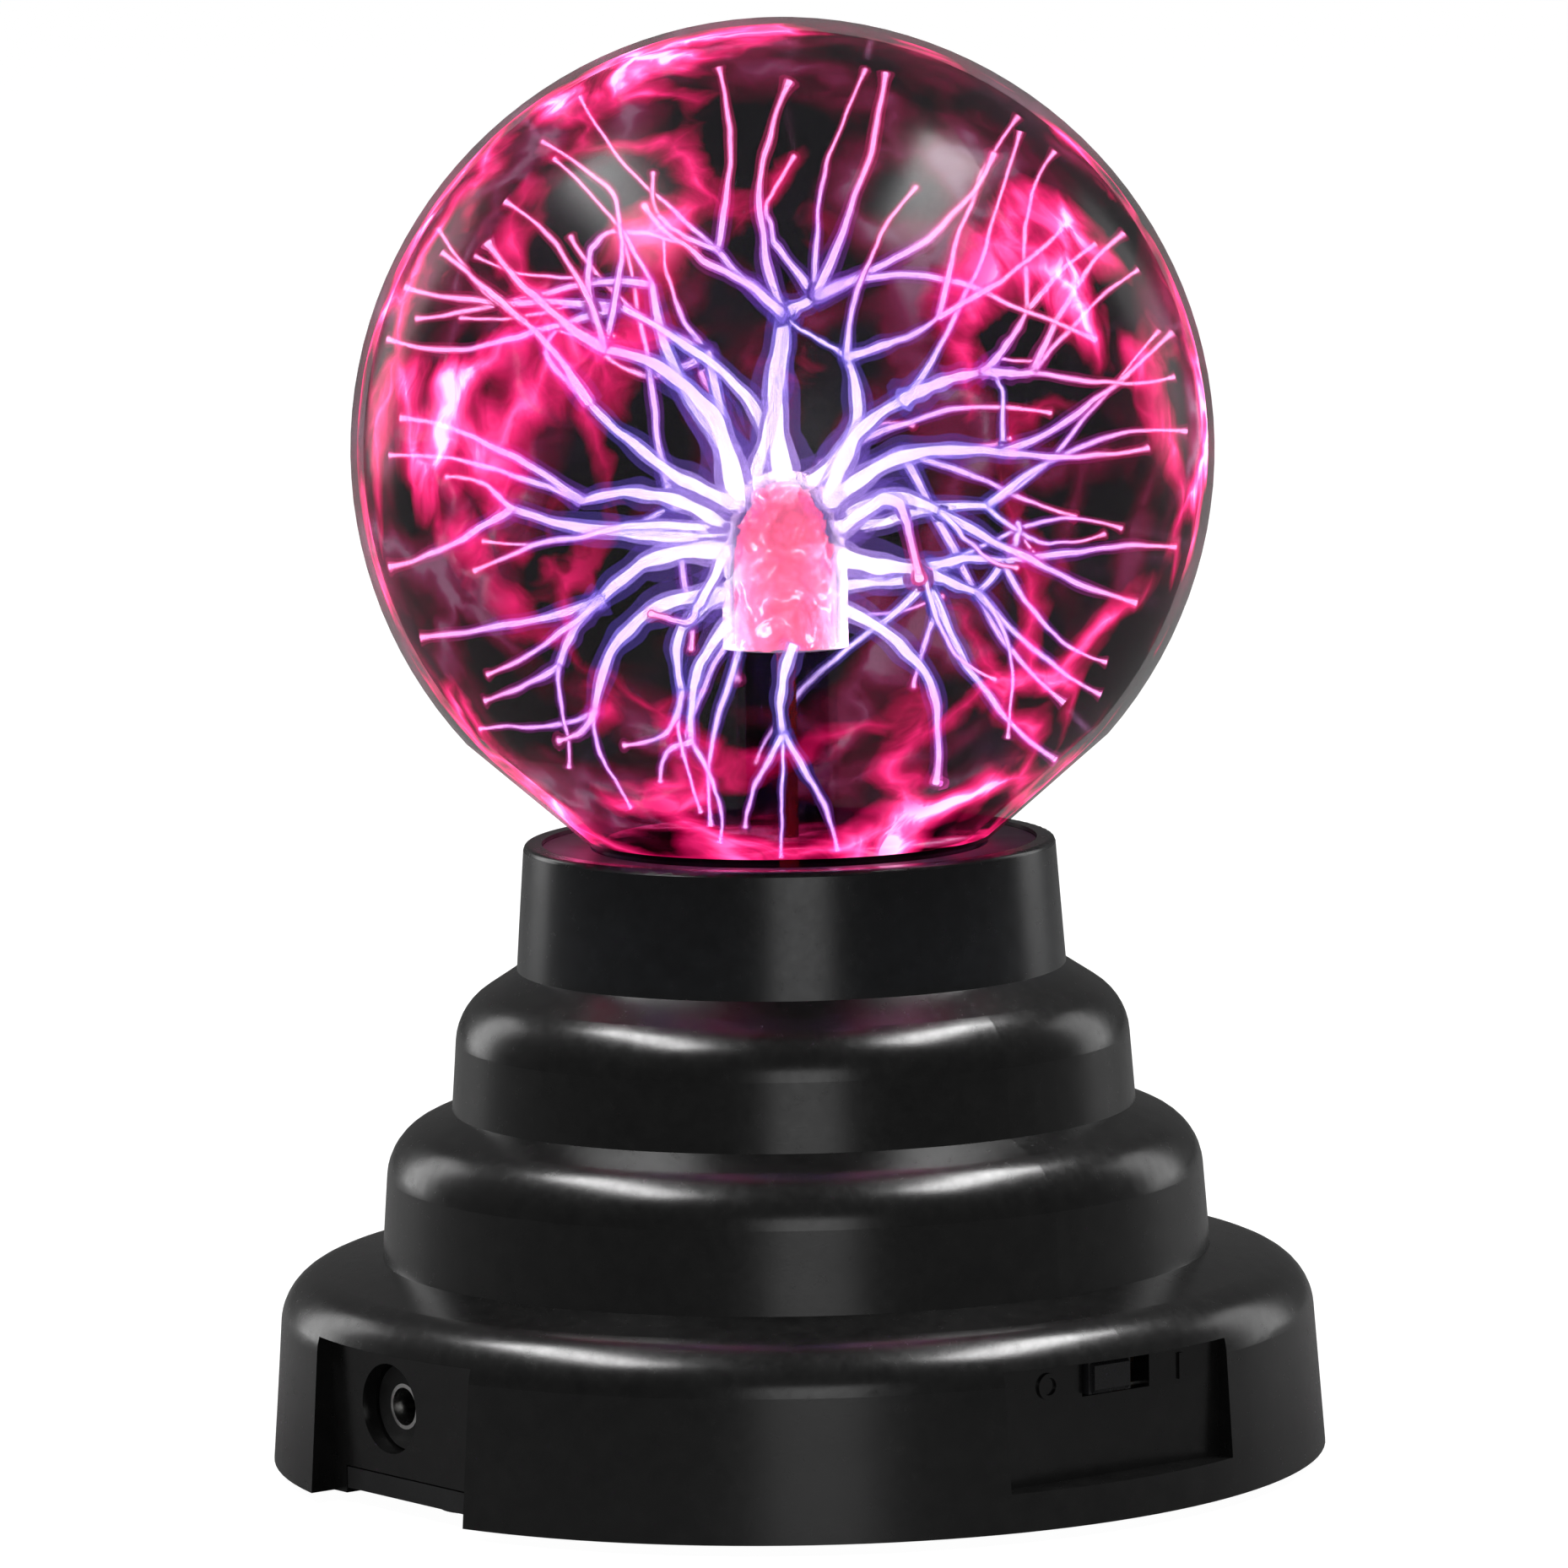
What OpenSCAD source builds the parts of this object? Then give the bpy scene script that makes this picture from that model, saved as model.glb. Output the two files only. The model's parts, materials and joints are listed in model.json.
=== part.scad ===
// Plasma ball on a stepped round base, with its driver board, four small cells, DC inlet and switch.
// Millimetres, +Z up. The origin is on the axis, at the bottom of the rubber feet.
// The DC inlet faces -Y and the slide switch faces +X.

/* [Globe] */
// Outer diameter of the glass globe
globe_d = 80; // [60:0.5:100]
// Thickness of the globe's glass
glass_t = 1.2; // [0.8:0.1:2]
// Slope of the straight flank between the sphere and the neck, from the horizontal
flank_angle = 41; // [38:0.5:44]
// How far inside the sphere's surface the line of the flank passes
flank_bite = 0.35; // [0.2:0.05:0.6]
// Outer diameter of the neck
neck_d = 34.8; // [30:0.2:38]
// Radius of the flare between the flank and the neck
flare_r = 2.4; // [1.6:0.1:3.5]
// How far below the collar's rim the flare ends
flare_depth = 2.2; // [1.5:0.1:2.6]
// Length of the neck below the collar's rim
neck_len = 14; // [11:0.5:15]

/* [Electrode] */
// Diameter of the glass tube that stands in the globe
tube_d = 9.4; // [7:0.1:12]
// Thickness of the tube's glass
tube_t = 0.8; // [0.5:0.1:1.2]
// Diameter of the tube's round head
head_d = 11.2; // [9.5:0.1:16]
// Length of the head, from its top to the tube
head_len = 16.2; // [12:0.1:24]
// How far the top of the head is below the globe's centre
head_drop = 2.1; // [0:0.1:8]

/* [Base] */
// Diameter of the foot tier at its lower edge
foot_d = 98.4; // [96:0.2:124]
// Diameter of the middle tier at its lower edge
middle_d = 77.3; // [76:0.1:84]
// Diameter of the upper tier at its lower edge
upper_d = 63.8; // [62:0.1:70]
// Diameter of the collar at its lower edge
collar_d = 51.2; // [50:0.1:54]
// Height of the foot tier
foot_h = 18.8; // [17.5:0.1:26]
// Height of the middle tier
middle_h = 13.7; // [12.5:0.1:18]
// Height of the upper tier
upper_h = 13; // [12.5:0.1:18]
// Height of the collar
collar_h = 11.7; // [11:0.1:16]
// Shoulder radius of the foot tier
foot_round = 5.2; // [4:0.1:6]
// Shoulder radius of the middle tier
middle_round = 5.7; // [4:0.1:6]
// Shoulder radius of the upper tier
upper_round = 5.9; // [4:0.1:6.2]
// Edge radius at the top of the collar
rim_round = 0.5; // [0.3:0.1:0.8]
// Draft of every tier's wall, in degrees
draft = 4.2; // [2:0.1:5]
// Wall thickness of the housing
shell_t = 2.2; // [1.6:0.1:2.6]
// Thickness of the base cover
cover_t = 2; // [1.6:0.1:2.6]
// How far the cover sits inside the housing's lower edge
cover_inset = 0.5; // [0.3:0.1:1]
// Diameter of a rubber foot
pad_d = 9; // [7:0.5:11]
// How far a rubber foot stands out below the housing
pad_proud = 1; // [0.6:0.1:2]

/* [Collar ring] */
// Diameter of the ring that closes the collar's mouth
ring_d = 46; // [45:0.1:46.2]
// Thickness of the ring's flange
ring_t = 2; // [1.5:0.1:3]
// Depth of the ring's skirt below the rim
ring_depth = 8; // [6:0.5:9]
// Wall of the ring's skirt
skirt_t = 1.6; // [1.2:0.1:2]

/* [DC inlet] */
// Width of the flat recess round the inlet
inlet_pocket_w = 23.4; // [20:0.1:26]
// Depth of both recesses, from the housing's lower radius
pocket_depth = 4; // [3.6:0.1:4.4]
// Height of both recesses' upper edge above the housing's lower edge
pocket_top = 14.4; // [14:0.1:15]
// Sideways place of the inlet in its recess
inlet_x = -2.8; // [-5:0.1:5]
// Height of the inlet above the housing's lower edge
inlet_z = 8.7; // [8:0.1:9.5]
// Diameter of the hole in the housing
inlet_hole_d = 8.3; // [7.8:0.1:9]
// Inner diameter of the metal sleeve
sleeve_d = 3.5; // [3:0.1:4.2]
// Wall of the metal sleeve
sleeve_t = 0.35; // [0.2:0.05:0.5]
// Diameter of the centre pin
pin_d = 1.3; // [1:0.1:1.6]
// How far the inlet's face lies behind the recess
inlet_back = 1.7; // [1:0.1:2]

/* [Switch] */
// Width of the recess round the switch
switch_pocket_w = 26; // [23:0.1:27]
// Height of the recess's lower edge above the housing's lower edge
switch_pocket_z = 3.5; // [3:0.1:5]
// Sideways place of the slot in its recess
slot_y = 0.9; // [-1.5:0.1:1.5]
// Height of the slot's middle above the housing's lower edge
slot_z = 12.6; // [12.4:0.1:12.6]
// Length of the slot
slot_w = 7.9; // [7.5:0.1:9]
// Height of the slot
slot_h = 3.5; // [3.3:0.1:3.6]
// Length of the knob
knob_w = 4.9; // [4:0.1:5.2]
// Height of the knob
knob_h = 3; // [2.6:0.1:3.1]
// How far the knob stands out of the recess
knob_proud = 1.1; // [0.5:0.1:2]
// How far the knob slides
knob_travel = 2.6; // [2:0.1:2.8]

/* [Cells] */
// Diameter of a cell
cell_d = 10.5; // [10:0.1:10.8]
// Length of a cell over its two ends
cell_len = 44.5; // [43.5:0.1:44.8]
// Gap between cells
cell_gap = 0.4; // [0.2:0.1:0.6]
// Length of a contact spring with its cell in place
spring_len = 4.2; // [3.5:0.1:5]
// Wall of the battery bay
bay_t = 1.4; // [1.2:0.1:1.8]
// Thickness of the battery door
door_t = 1.8; // [1.5:0.1:2]

/* [Driver board] */
// Width of the board
board_w = 52; // [48:0.5:54]
// Length of the board
board_l = 44; // [40:0.5:46]
// Thickness of the board
board_t = 1.6; // [1:0.1:2]
// Height of the board's underside above the top of the battery bay
board_gap = 4.6; // [3.5:0.1:5.5]

/* [Fasteners] */
// Shank diameter of the self-tapping screws
screw_d = 2.6; // [2.2:0.1:3]
// Head diameter of the self-tapping screws
screw_head_d = 5; // [4.4:0.1:5.6]
// Gap between parts that are assembled by hand
fit = 0.15; // [0.1:0.05:0.25]
// Gap all round a pin that turns in a hole
pin_fit = 0.05; // [0.03:0.01:0.1]

/* [Hidden] */
$fn = 96;

// heights
z_edge = pad_proud;
z_middle = z_edge + foot_h;
z_upper = z_middle + middle_h;
z_collar = z_upper + upper_h;
z_rim = z_collar + collar_h;
z_cover = z_edge + cover_inset;
z_cover_top = z_cover + cover_t;

// globe, measured from its centre
globe_r = globe_d / 2;
neck_r = neck_d / 2;
flare_z = ((neck_r + flare_r) * sin(flank_angle) - globe_r + flank_bite - flare_r) / cos(flank_angle);
z_globe = z_rim - flare_depth - flare_z;
z_neck = z_rim - neck_len;
z_head = z_globe - head_drop;
tube_below = 1.5;
z_tube = z_neck - tube_below;

// housing
foot_r = foot_d / 2;
cover_r = foot_r - shell_t - (z_cover_top - z_edge + shell_t) * tan(draft) - fit;
pocket_r = foot_r - pocket_depth;
pocket_back_r = pocket_r - shell_t;
z_pocket = z_edge + pocket_top;
// The lowest tread falls by the same height up to the recesses' back walls, however wide it is
tread_fall = 1.27;
tread_slopes = [atan(tread_fall / (pocket_back_r + shell_t - middle_d / 2)), 24, 33];
frame_w = 2;
tongue_w = inlet_pocket_w - 4;
tongue_h = 2.6;
mouth_r = ring_d / 2 + fit / 3;
ring_sink = 0.4;
ledge_w = 1.6;
ledge_t = 1.4;
boss_r = 3.1;
base_boss_r = 2.6;
// The cover's bosses stand just inside the circle where the ceiling runs into the foot tier's inner shoulder
inner_round = foot_round - shell_t;
inner_round_z = round_z(foot_r - shell_t, foot_h, inner_round, tread_slopes[0], middle_d / 2 - shell_t);
ceiling_r = round_x(foot_r - shell_t, inner_round_z, inner_round) + inner_round * sin(tread_slopes[0]);
boss_base_r = ceiling_r - 0.3 - base_boss_r;
pilot_r = screw_d / 2 - 0.15;
screw_hole_r = screw_d / 2 + 0.2;
cover_pad_r = 3.8;
cover_pad_t = 1.5;
z_boss = z_cover_top + cover_pad_t;
cover_sink = 1.8;
cover_screw_l = 9;
cover_pilot = cover_sink + cover_screw_l - cover_t - cover_pad_t + 0.7;
board_screw_l = 7;
board_pilot = board_screw_l - board_t + 1.6;

// battery bay in the base cover, and the hinge of its door
cell_count = 4;
contact_t = 0.4;
cell_pitch = cell_d + cell_gap;
bay_x = -2;
bay_y = 2.5;
bay_w = cell_count * cell_d + (cell_count + 1) * cell_gap;
bay_l = cell_len + spring_len + 2 * contact_t;
hinge_r = 1.2;
hinge_pin_r = 0.8;
door_gap = 0.25;
door_y = bay_y + bay_l / 2 - door_gap - hinge_r;
door_z = z_cover + hinge_r;
z_cells = door_z + hinge_r + fit;
z_bay = z_cells + cell_d + cell_gap;
z_bay_top = z_bay + bay_t;
button_l = 1.2;
button_r = 1.9;

// rubber feet
pad_r = pad_d / 2;
pad_sink = 0.8;
pad_ring_r = pocket_back_r - fit - pad_d / 2 - 1.5;
pad_angles = [0, 90, 180, 270];
screw_angles = [45, 135, 225, 315];

// driver board
z_board = z_bay_top + board_gap;
z_parts = z_board + board_t;
board_boss = [board_w / 2 - 2.6, board_l / 2 - 2.6];

// transformer: outside of its core, and the spool in the core's window
core = [20, 6, 18];
core_leg = 3;
centre_leg = 5;
window_h = core.z - 2 * core_leg;
spool_h = window_h - 0.2;
spool_r = 4.6;
spool_bore_r = 3.8;
cheek_r = core.x / 2 - core_leg - 0.3;
cheek_t = 0.8;
divider_z = 3.6;
trafo_x = -12;
trafo_y = 5;

// other parts on the board
sink_x = 14;
sink_y = -8;
can_r = 3.9;
wire_r = 0.3;

// DC inlet, built along +Z from its face and then laid to face -Y
z_inlet = z_edge + inlet_z;
inlet_face = pocket_r - inlet_back;
inlet_body_w = 9.4;
inlet_body_h = 8.6;
inlet_body_l = 10;
sleeve_r = sleeve_d / 2;
sleeve_out_r = sleeve_r + sleeve_t;
sleeve_l = 9;
inlet_pin_back = 1.4;
inlet_step = inlet_face - pocket_back_r;
tag_w = 1.6;
tag_l = 3;
tag_pitch = 3;

// switch, built facing +X
z_slot = z_edge + slot_z;
switch_w = 12.8;
switch_h = 5;
switch_deep = 4.6;
frame_t = 0.4;
ear_w = 2.8;
switch_back_r = pocket_back_r - switch_deep;
knob_y = slot_y - knob_travel / 2;
wiper_gap = 0.1;
knob_flange_t = 1.2;
flange_x = pocket_back_r - frame_t - 0.2 - knob_flange_t;
terminal_w = 1.6;
terminal_t = 0.5;
terminal_y = [-4.2, 0, 4.2];
terminal_out = 4.6;

// leads
lead_r = 0.6;
high_lead_r = 0.9;

module ring_of(r, angles) {
    for (a = angles) rotate(a) translate([r, 0, 0]) children();
}

module at_board_corners() {
    for (x = [-1, 1], y = [-1, 1]) translate([x * board_boss.x, y * board_boss.y, 0]) children();
}

module facing_inlet() {
    translate([inlet_x, -inlet_face, z_inlet]) rotate([-90, 0, 0]) children();
}

// A box centred on x and y, standing on z = 0
module block(x, y, z) {
    translate([-x / 2, -y / 2, 0]) cube([x, y, z]);
}

// A box with its four upright edges rounded
module round_block(x, y, z, r) {
    linear_extrude(z) square([x - 2 * r, y], center = true);
    linear_extrude(z) square([x, y - 2 * r], center = true);
    for (i = [-1, 1], j = [-1, 1]) translate([i * (x / 2 - r), j * (y / 2 - r), 0]) cylinder(h = z, r = r);
}

// A round bar of the given radius along a list of points, closed at both ends
module bar(path, r, sides = 8) {
    n = len(path);
    side = [0.31, 0.42, 0.85];
    function dir(i) = path[min(i + 1, n - 1)] - path[max(i - 1, 0)];
    function unit(v) = v / norm(v);
    points = [
        for (i = [0 : n - 1])
            let (t = unit(dir(i)), u = unit(cross(t, side)), v = cross(t, u))
            for (k = [0 : sides - 1])
                path[i] + r * (cos(360 * k / sides) * u + sin(360 * k / sides) * v)
    ];
    walls = [
        for (i = [0 : n - 2], k = [0 : sides - 1])
            let (a = i * sides + k, b = i * sides + (k + 1) % sides)
            each [[a, a + sides, b + sides], [a, b + sides, b]]
    ];
    last = (n - 1) * sides;
    caps = [for (k = [1 : sides - 2]) each [[0, k, k + 1], [last, last + k + 1, last + k]]];
    polyhedron(points = points, faces = concat(walls, caps));
}

// Points on a smooth curve from a to d that leaves towards b and arrives from c
function curve(a, b, c, d, n = 16) = [
    for (i = [0 : n])
        let (t = i / n)
        pow(1 - t, 3) * a + 3 * t * pow(1 - t, 2) * b + 3 * t * t * (1 - t) * c + pow(t, 3) * d
];

// Middle of a tier's shoulder round, above the tier's lower edge.
// The round touches the drafted wall and the sloping tread, which meets the next wall at r_up.
function round_z(r, h, f, slope, r_up) =
    let (width = r - f * cos(draft) - f * sin(draft) * tan(draft) + f * sin(slope) - r_up)
    (h - f * cos(slope) - width * tan(slope)) / (1 - tan(draft) * tan(slope));
function round_x(r, cz, f) = r - f * cos(draft) - (cz + f * sin(draft)) * tan(draft);

// Half section of one tier: radius r at its lower edge z, height h, shoulder round f
module tier(r, z, h, f, slope, r_up) {
    cz = round_z(r, h, f, slope, r_up);
    cx = round_x(r, cz, f);
    translate([0, z]) {
        polygon([
            [0, 0], [r, 0], [cx + f * cos(draft), cz + f * sin(draft)], [cx, cz],
            [cx + f * sin(slope), cz + f * cos(slope)], [r_up, h], [0, h]
        ]);
        translate([cx, cz]) circle(f);
    }
}

// The three tiers, moved in by t all round; down is how far each reaches below its lower edge
module tiers(t, down) {
    r = [foot_d / 2 - t, middle_d / 2 - t, upper_d / 2 - t, collar_d / 2 - t];
    tier(r[0], z_edge - down, foot_h + down - t, foot_round - t, tread_slopes[0], r[1]);
    tier(r[1], z_middle - t - down, middle_h + down, middle_round - t, tread_slopes[1], r[2]);
    tier(r[2], z_upper - t - down, upper_h + down, upper_round - t, tread_slopes[2], r[3]);
}

module collar_section() {
    r_top = collar_d / 2 - collar_h * tan(draft);
    polygon([
        [0, z_collar - shell_t], [collar_d / 2, z_collar - shell_t], [collar_d / 2, z_collar],
        [r_top + rim_round * tan(draft), z_rim - rim_round], [r_top - rim_round, z_rim - rim_round],
        [r_top - rim_round, z_rim], [0, z_rim]
    ]);
    translate([r_top - rim_round, z_rim - rim_round]) circle(rim_round);
}

module housing_outside() {
    rotate_extrude() intersection() {
        union() {
            tiers(0, 0);
            collar_section();
        }
        square([foot_r + 1, z_rim + 1]);
    }
}

module housing_inside() {
    rotate_extrude() intersection() {
        union() {
            tiers(shell_t, shell_t);
            square([collar_d / 2 - shell_t - collar_h * tan(draft) / 2, z_rim - ring_depth - ledge_t]);
            square([mouth_r - ledge_w, z_rim + 1]);
            translate([0, z_rim - ring_depth]) square([mouth_r, ring_depth + 1]);
        }
        square([foot_r + 1, z_rim + 1]);
    }
}

// What is left standing in the cavity: walls behind the two recesses, and the screw bosses
module housing_additions() {
    reach = 2 * pocket_depth + 4;
    translate([0, -pocket_back_r - reach / 2, z_edge])
        block(inlet_pocket_w + 2 * frame_w, reach, pocket_top + shell_t);
    translate([pocket_back_r + reach / 2, 0, z_edge])
        block(reach, switch_pocket_w + 2 * frame_w, pocket_top + shell_t);
    ring_of(boss_base_r, screw_angles) translate([0, 0, z_boss])
        cylinder(h = z_middle - z_boss - 1, r = base_boss_r);
    at_board_corners() translate([0, 0, z_parts]) cylinder(h = z_upper - z_parts - 1, r = boss_r);
}

// Raised ring for off and raised bar for on, either side of the slot
module switch_marks() {
    mark_h = 0.25;
    translate([pocket_r - 0.1, 0, z_slot - 0.3]) {
        translate([0, slot_y - slot_w / 2 - 4, 0]) rotate([0, 90, 0]) difference() {
            cylinder(h = mark_h + 0.1, r = 1.2);
            translate([0, 0, -1]) cylinder(h = 3, r = 0.8);
        }
        translate([(mark_h + 0.1) / 2, slot_y + slot_w / 2 + 3.6, -1.2]) block(mark_h + 0.1, 0.45, 2.4);
    }
}

module upper_housing() {
    color("#101114") {
        difference() {
            housing_outside();
            difference() {
                housing_inside();
                housing_additions();
            }
            // recess and hole of the DC inlet, and the notch for the cover's tongue
            translate([0, -pocket_r - 10, -1]) block(inlet_pocket_w, 20, z_pocket + 1);
            translate([inlet_x, -pocket_r - 1, z_inlet]) rotate([-90, 0, 0])
                cylinder(h = shell_t + 2, r = inlet_hole_d / 2);
            translate([0, -pocket_r, z_edge - 1]) block(tongue_w, 8, tongue_h + 1);
            // recess and slot of the switch
            translate([pocket_r + 10, 0, z_edge + switch_pocket_z])
                block(20, switch_pocket_w, pocket_top - switch_pocket_z);
            translate([pocket_r, slot_y, z_slot - slot_h / 2]) block(8, slot_w, slot_h);
            // pilot holes
            ring_of(boss_base_r, screw_angles) translate([0, 0, z_boss - 1])
                cylinder(h = cover_pilot + 1, r = pilot_r);
            at_board_corners() translate([0, 0, z_parts - 1]) cylinder(h = board_pilot + 1, r = pilot_r);
        }
        switch_marks();
    }
}

module collar_ring() {
    over_flare = flare_depth - ring_sink;
    hole_r = neck_r + flare_r - sqrt(pow(flare_r, 2) - pow(over_flare, 2)) + 2 * fit;
    color("#1b1c20") rotate_extrude() {
        translate([hole_r, z_rim - ring_sink - ring_t]) square([ring_d / 2 - hole_r, ring_t]);
        translate([ring_d / 2 - skirt_t, z_rim - ring_depth]) square([skirt_t, ring_depth - 0.6]);
    }
}

// Everything of the base cover that stands on the plate
module cover_bay() {
    translate([bay_x, bay_y, z_cover]) difference() {
        block(bay_w + 2 * bay_t, bay_l + 2 * bay_t, z_bay_top - z_cover);
        translate([0, 0, -1]) block(bay_w, bay_l, z_bay - z_cover + 1);
    }
}

module base_cover() {
    color("#15161a") difference() {
        union() {
            difference() {
                translate([0, 0, z_cover]) cylinder(h = cover_t, r = cover_r);
                translate([bay_x, bay_y, 0]) block(bay_w, bay_l, 20);
                translate([0, -pocket_back_r - 10 + fit, 0])
                    block(inlet_pocket_w + 2 * frame_w + 2 * fit, 20, 20);
                translate([pocket_back_r + 10 - fit, 0, 0])
                    block(20, switch_pocket_w + 2 * frame_w + 2 * fit, 20);
            }
            cover_bay();
            // tongue that closes the notch below the inlet
            translate([0, -(pocket_r + pocket_back_r - 2) / 2, z_cover])
                block(tongue_w - 2 * fit, shell_t + 2, tongue_h - cover_inset - fit);
            // pads under the housing's bosses
            ring_of(boss_base_r, screw_angles) translate([0, 0, z_cover])
                cylinder(h = z_boss - z_cover, r = cover_pad_r);
            // cradle for the inlet's body
            translate([inlet_x, -inlet_face + inlet_body_l / 2 + 1.2, z_cover]) difference() {
                block(inlet_body_w + 3, inlet_body_l - 1, z_inlet - z_cover + 1);
                translate([0, 0, z_inlet - z_cover - inlet_body_h / 2])
                    block(inlet_body_w, inlet_body_l + 2, inlet_body_h + 0.5);
            }
        }
        // counterbored screw holes
        ring_of(boss_base_r, screw_angles) {
            cylinder(h = 20, r = screw_hole_r);
            cylinder(h = z_cover + cover_sink, r = screw_head_d / 2 + 0.3);
        }
        // seats of the rubber feet
        ring_of(pad_ring_r, pad_angles) cylinder(h = z_cover + pad_sink, r = pad_r + fit / 3);
        // holes for the door's hinge pins
        translate([bay_x, door_y, door_z]) rotate([0, 90, 0])
            cylinder(h = bay_w + 2 * bay_t - 0.4, r = hinge_pin_r + pin_fit, center = true);
    }
}

module battery_door() {
    door_w = bay_w - 2 * door_gap;
    door_l = door_y - (bay_y - bay_l / 2 + door_gap);
    tongue = [11, 9];
    color("#17181c") difference() {
        union() {
            translate([bay_x, door_y - door_l / 2, z_cover]) block(door_w, door_l, door_t);
            translate([bay_x, door_y, door_z]) rotate([0, 90, 0]) {
                cylinder(h = door_w, r = hinge_r, center = true);
                cylinder(h = bay_w + 2 * bay_t - 1, r = hinge_pin_r, center = true);
            }
        }
        // slots either side of the latch tongue, and its finger groove
        for (s = [-1, 1])
            translate([bay_x + s * tongue.x / 2, door_y - door_l + tongue.y / 2 - 0.1, 0])
                block(0.8, tongue.y, 10);
        translate([bay_x, door_y - door_l + 3.2, z_cover - 1]) block(8, 2.4, 1.7);
        // grip lines across the middle
        for (i = [0 : 4]) translate([bay_x, door_y - door_l + 14 + 2 * i, z_cover - 1]) block(16, 0.9, 1.4);
    }
}

module rubber_feet() {
    chamfer = 0.5;
    h = z_cover + pad_sink;
    color("#2a2a2c") ring_of(pad_ring_r, pad_angles) rotate_extrude()
        polygon([[0, 0], [pad_r - chamfer, 0], [pad_r, chamfer], [pad_r, h], [0, h]]);
}

// Half section of the globe, moved in by t all round. It is cut out of a square: first what lies outside the
// sphere above the flank, then what lies outside flank and neck, then the round of the flare.
module globe_section(t) {
    r = globe_r - t;
    f = flare_r + t;
    away = [sin(flank_angle), -cos(flank_angle)];
    along = [cos(flank_angle), sin(flank_angle)];
    far = (r - flank_bite) * away + r * along;
    middle = [neck_r + flare_r, flare_z];
    bottom = z_neck + t - z_globe;
    difference() {
        translate([0, bottom]) square([r + 1, r + 1 - bottom]);
        difference() {
            translate([0, r * away.y]) square([r + 2, 2 * r]);
            circle(r);
        }
        polygon([
            far, middle - f * away, middle, middle - [f, 0],
            [neck_r - t, bottom - 1], [3 * r, bottom - 1], [3 * r, far.y]
        ]);
        translate(middle) circle(f);
    }
}

module glass_globe() {
    color([0.75, 0.8, 0.9, 0.3]) translate([0, 0, z_globe]) rotate_extrude() difference() {
        globe_section(0);
        globe_section(glass_t);
        translate([0, z_neck - z_globe - 1]) square([tube_d / 2, glass_t + 2]);
    }
}

// Half section of the electrode tube, moved in by t all round
module tube_section(t, z_low) {
    r = head_d / 2 - t;
    z_dome = z_head - head_d / 2;
    intersection() {
        union() {
            translate([0, z_dome]) circle(r);
            polygon([
                [0, z_low], [tube_d / 2 - t, z_low], [tube_d / 2 - t, z_head - head_len],
                [r, z_dome], [0, z_dome]
            ]);
        }
        square([head_d, z_globe * 2]);
    }
}

module electrode_tube() {
    color([0.8, 0.8, 0.95, 0.4]) rotate_extrude() difference() {
        tube_section(0, z_tube);
        tube_section(tube_t, z_tube - 1);
    }
}

module electrode_wool() {
    color("#f07aa8") rotate_extrude() intersection() {
        tube_section(tube_t + 0.1, z_tube);
        translate([0, z_head - head_len]) square([head_d, head_len]);
    }
}

// Sealed stub of the tube that the globe was pumped and filled through
module exhaust_tip() {
    tip_r = 1.6;
    color([0.8, 0.8, 0.95, 0.5]) translate([neck_r / 2 + 1, 0, z_neck - 3]) {
        cylinder(h = 3, r = tip_r);
        translate([0, 0, -2]) cylinder(h = 2, r1 = 0.6, r2 = tip_r);
    }
}

// Silicone that holds the neck in the collar ring
module neck_bond() {
    bond_r = ring_d / 2 - skirt_t;
    z_low = z_rim - ring_depth;
    color("#d8d8d4") translate([0, 0, z_low]) rotate_extrude()
        translate([neck_r, 0]) square([bond_r - neck_r, ring_depth - flare_depth - 1]);
}

module at_transformer() {
    translate([trafo_x, trafo_y, z_parts]) children();
}

module transformer_core() {
    color("#3b3c40") at_transformer() {
        difference() {
            block(core.x, core.y, core.z);
            translate([0, 0, core_leg]) block(core.x - 2 * core_leg, core.y + 2, window_h);
        }
        translate([0, 0, core_leg]) block(centre_leg, core.y - 0.6, window_h);
    }
}

module transformer_bobbin() {
    color("#e8e4d6") at_transformer() translate([0, 0, core_leg + 0.1]) difference() {
        union() {
            cylinder(h = spool_h, r = spool_r);
            for (z = [0, divider_z, spool_h - cheek_t]) translate([0, 0, z])
                cylinder(h = cheek_t, r = cheek_r);
        }
        translate([0, 0, -1]) cylinder(h = spool_h + 2, r = spool_bore_r);
    }
    color("#e8e4d6") at_transformer() for (s = [-1, 1])
        translate([0, s * (core.y / 2 + 1.5), 0]) block(14, 2.6, core_leg + 0.4);
}

module winding(z, h, r) {
    at_transformer() translate([0, 0, core_leg + 0.1 + z]) difference() {
        cylinder(h = h, r = r);
        translate([0, 0, -1]) cylinder(h = h + 2, r = spool_r);
    }
}

module primary_winding() {
    color("#b06a2c") winding(cheek_t, divider_z - cheek_t, cheek_r - 0.6);
}

module secondary_winding() {
    z = divider_z + cheek_t;
    color("#8c4a20") winding(z, spool_h - cheek_t - z, cheek_r - 0.3);
}

module driver_board() {
    color("#b98a4a") difference() {
        translate([0, 0, z_board]) round_block(board_w, board_l, board_t, 2);
        at_board_corners() cylinder(h = 60, r = screw_hole_r);
    }
}

module heat_sink() {
    color("silver") translate([sink_x, sink_y, z_parts]) {
        block(15, 1.6, 14);
        for (x = [-6.7, -3.35, 0, 3.35, 6.7]) translate([x, -3, 0]) block(1.1, 4.4, 14);
    }
}

module power_transistor() {
    color("#202022") translate([sink_x, sink_y + 0.8, z_parts + 4]) {
        translate([0, 0.65, 0]) block(9.8, 1.3, 9.4);
        translate([0, 2.9, 0]) block(9.6, 3.2, 6.4);
        for (x = [-2.54, 0, 2.54]) translate([x, 2.4, -4]) block(0.7, 0.5, 4);
    }
}

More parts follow.
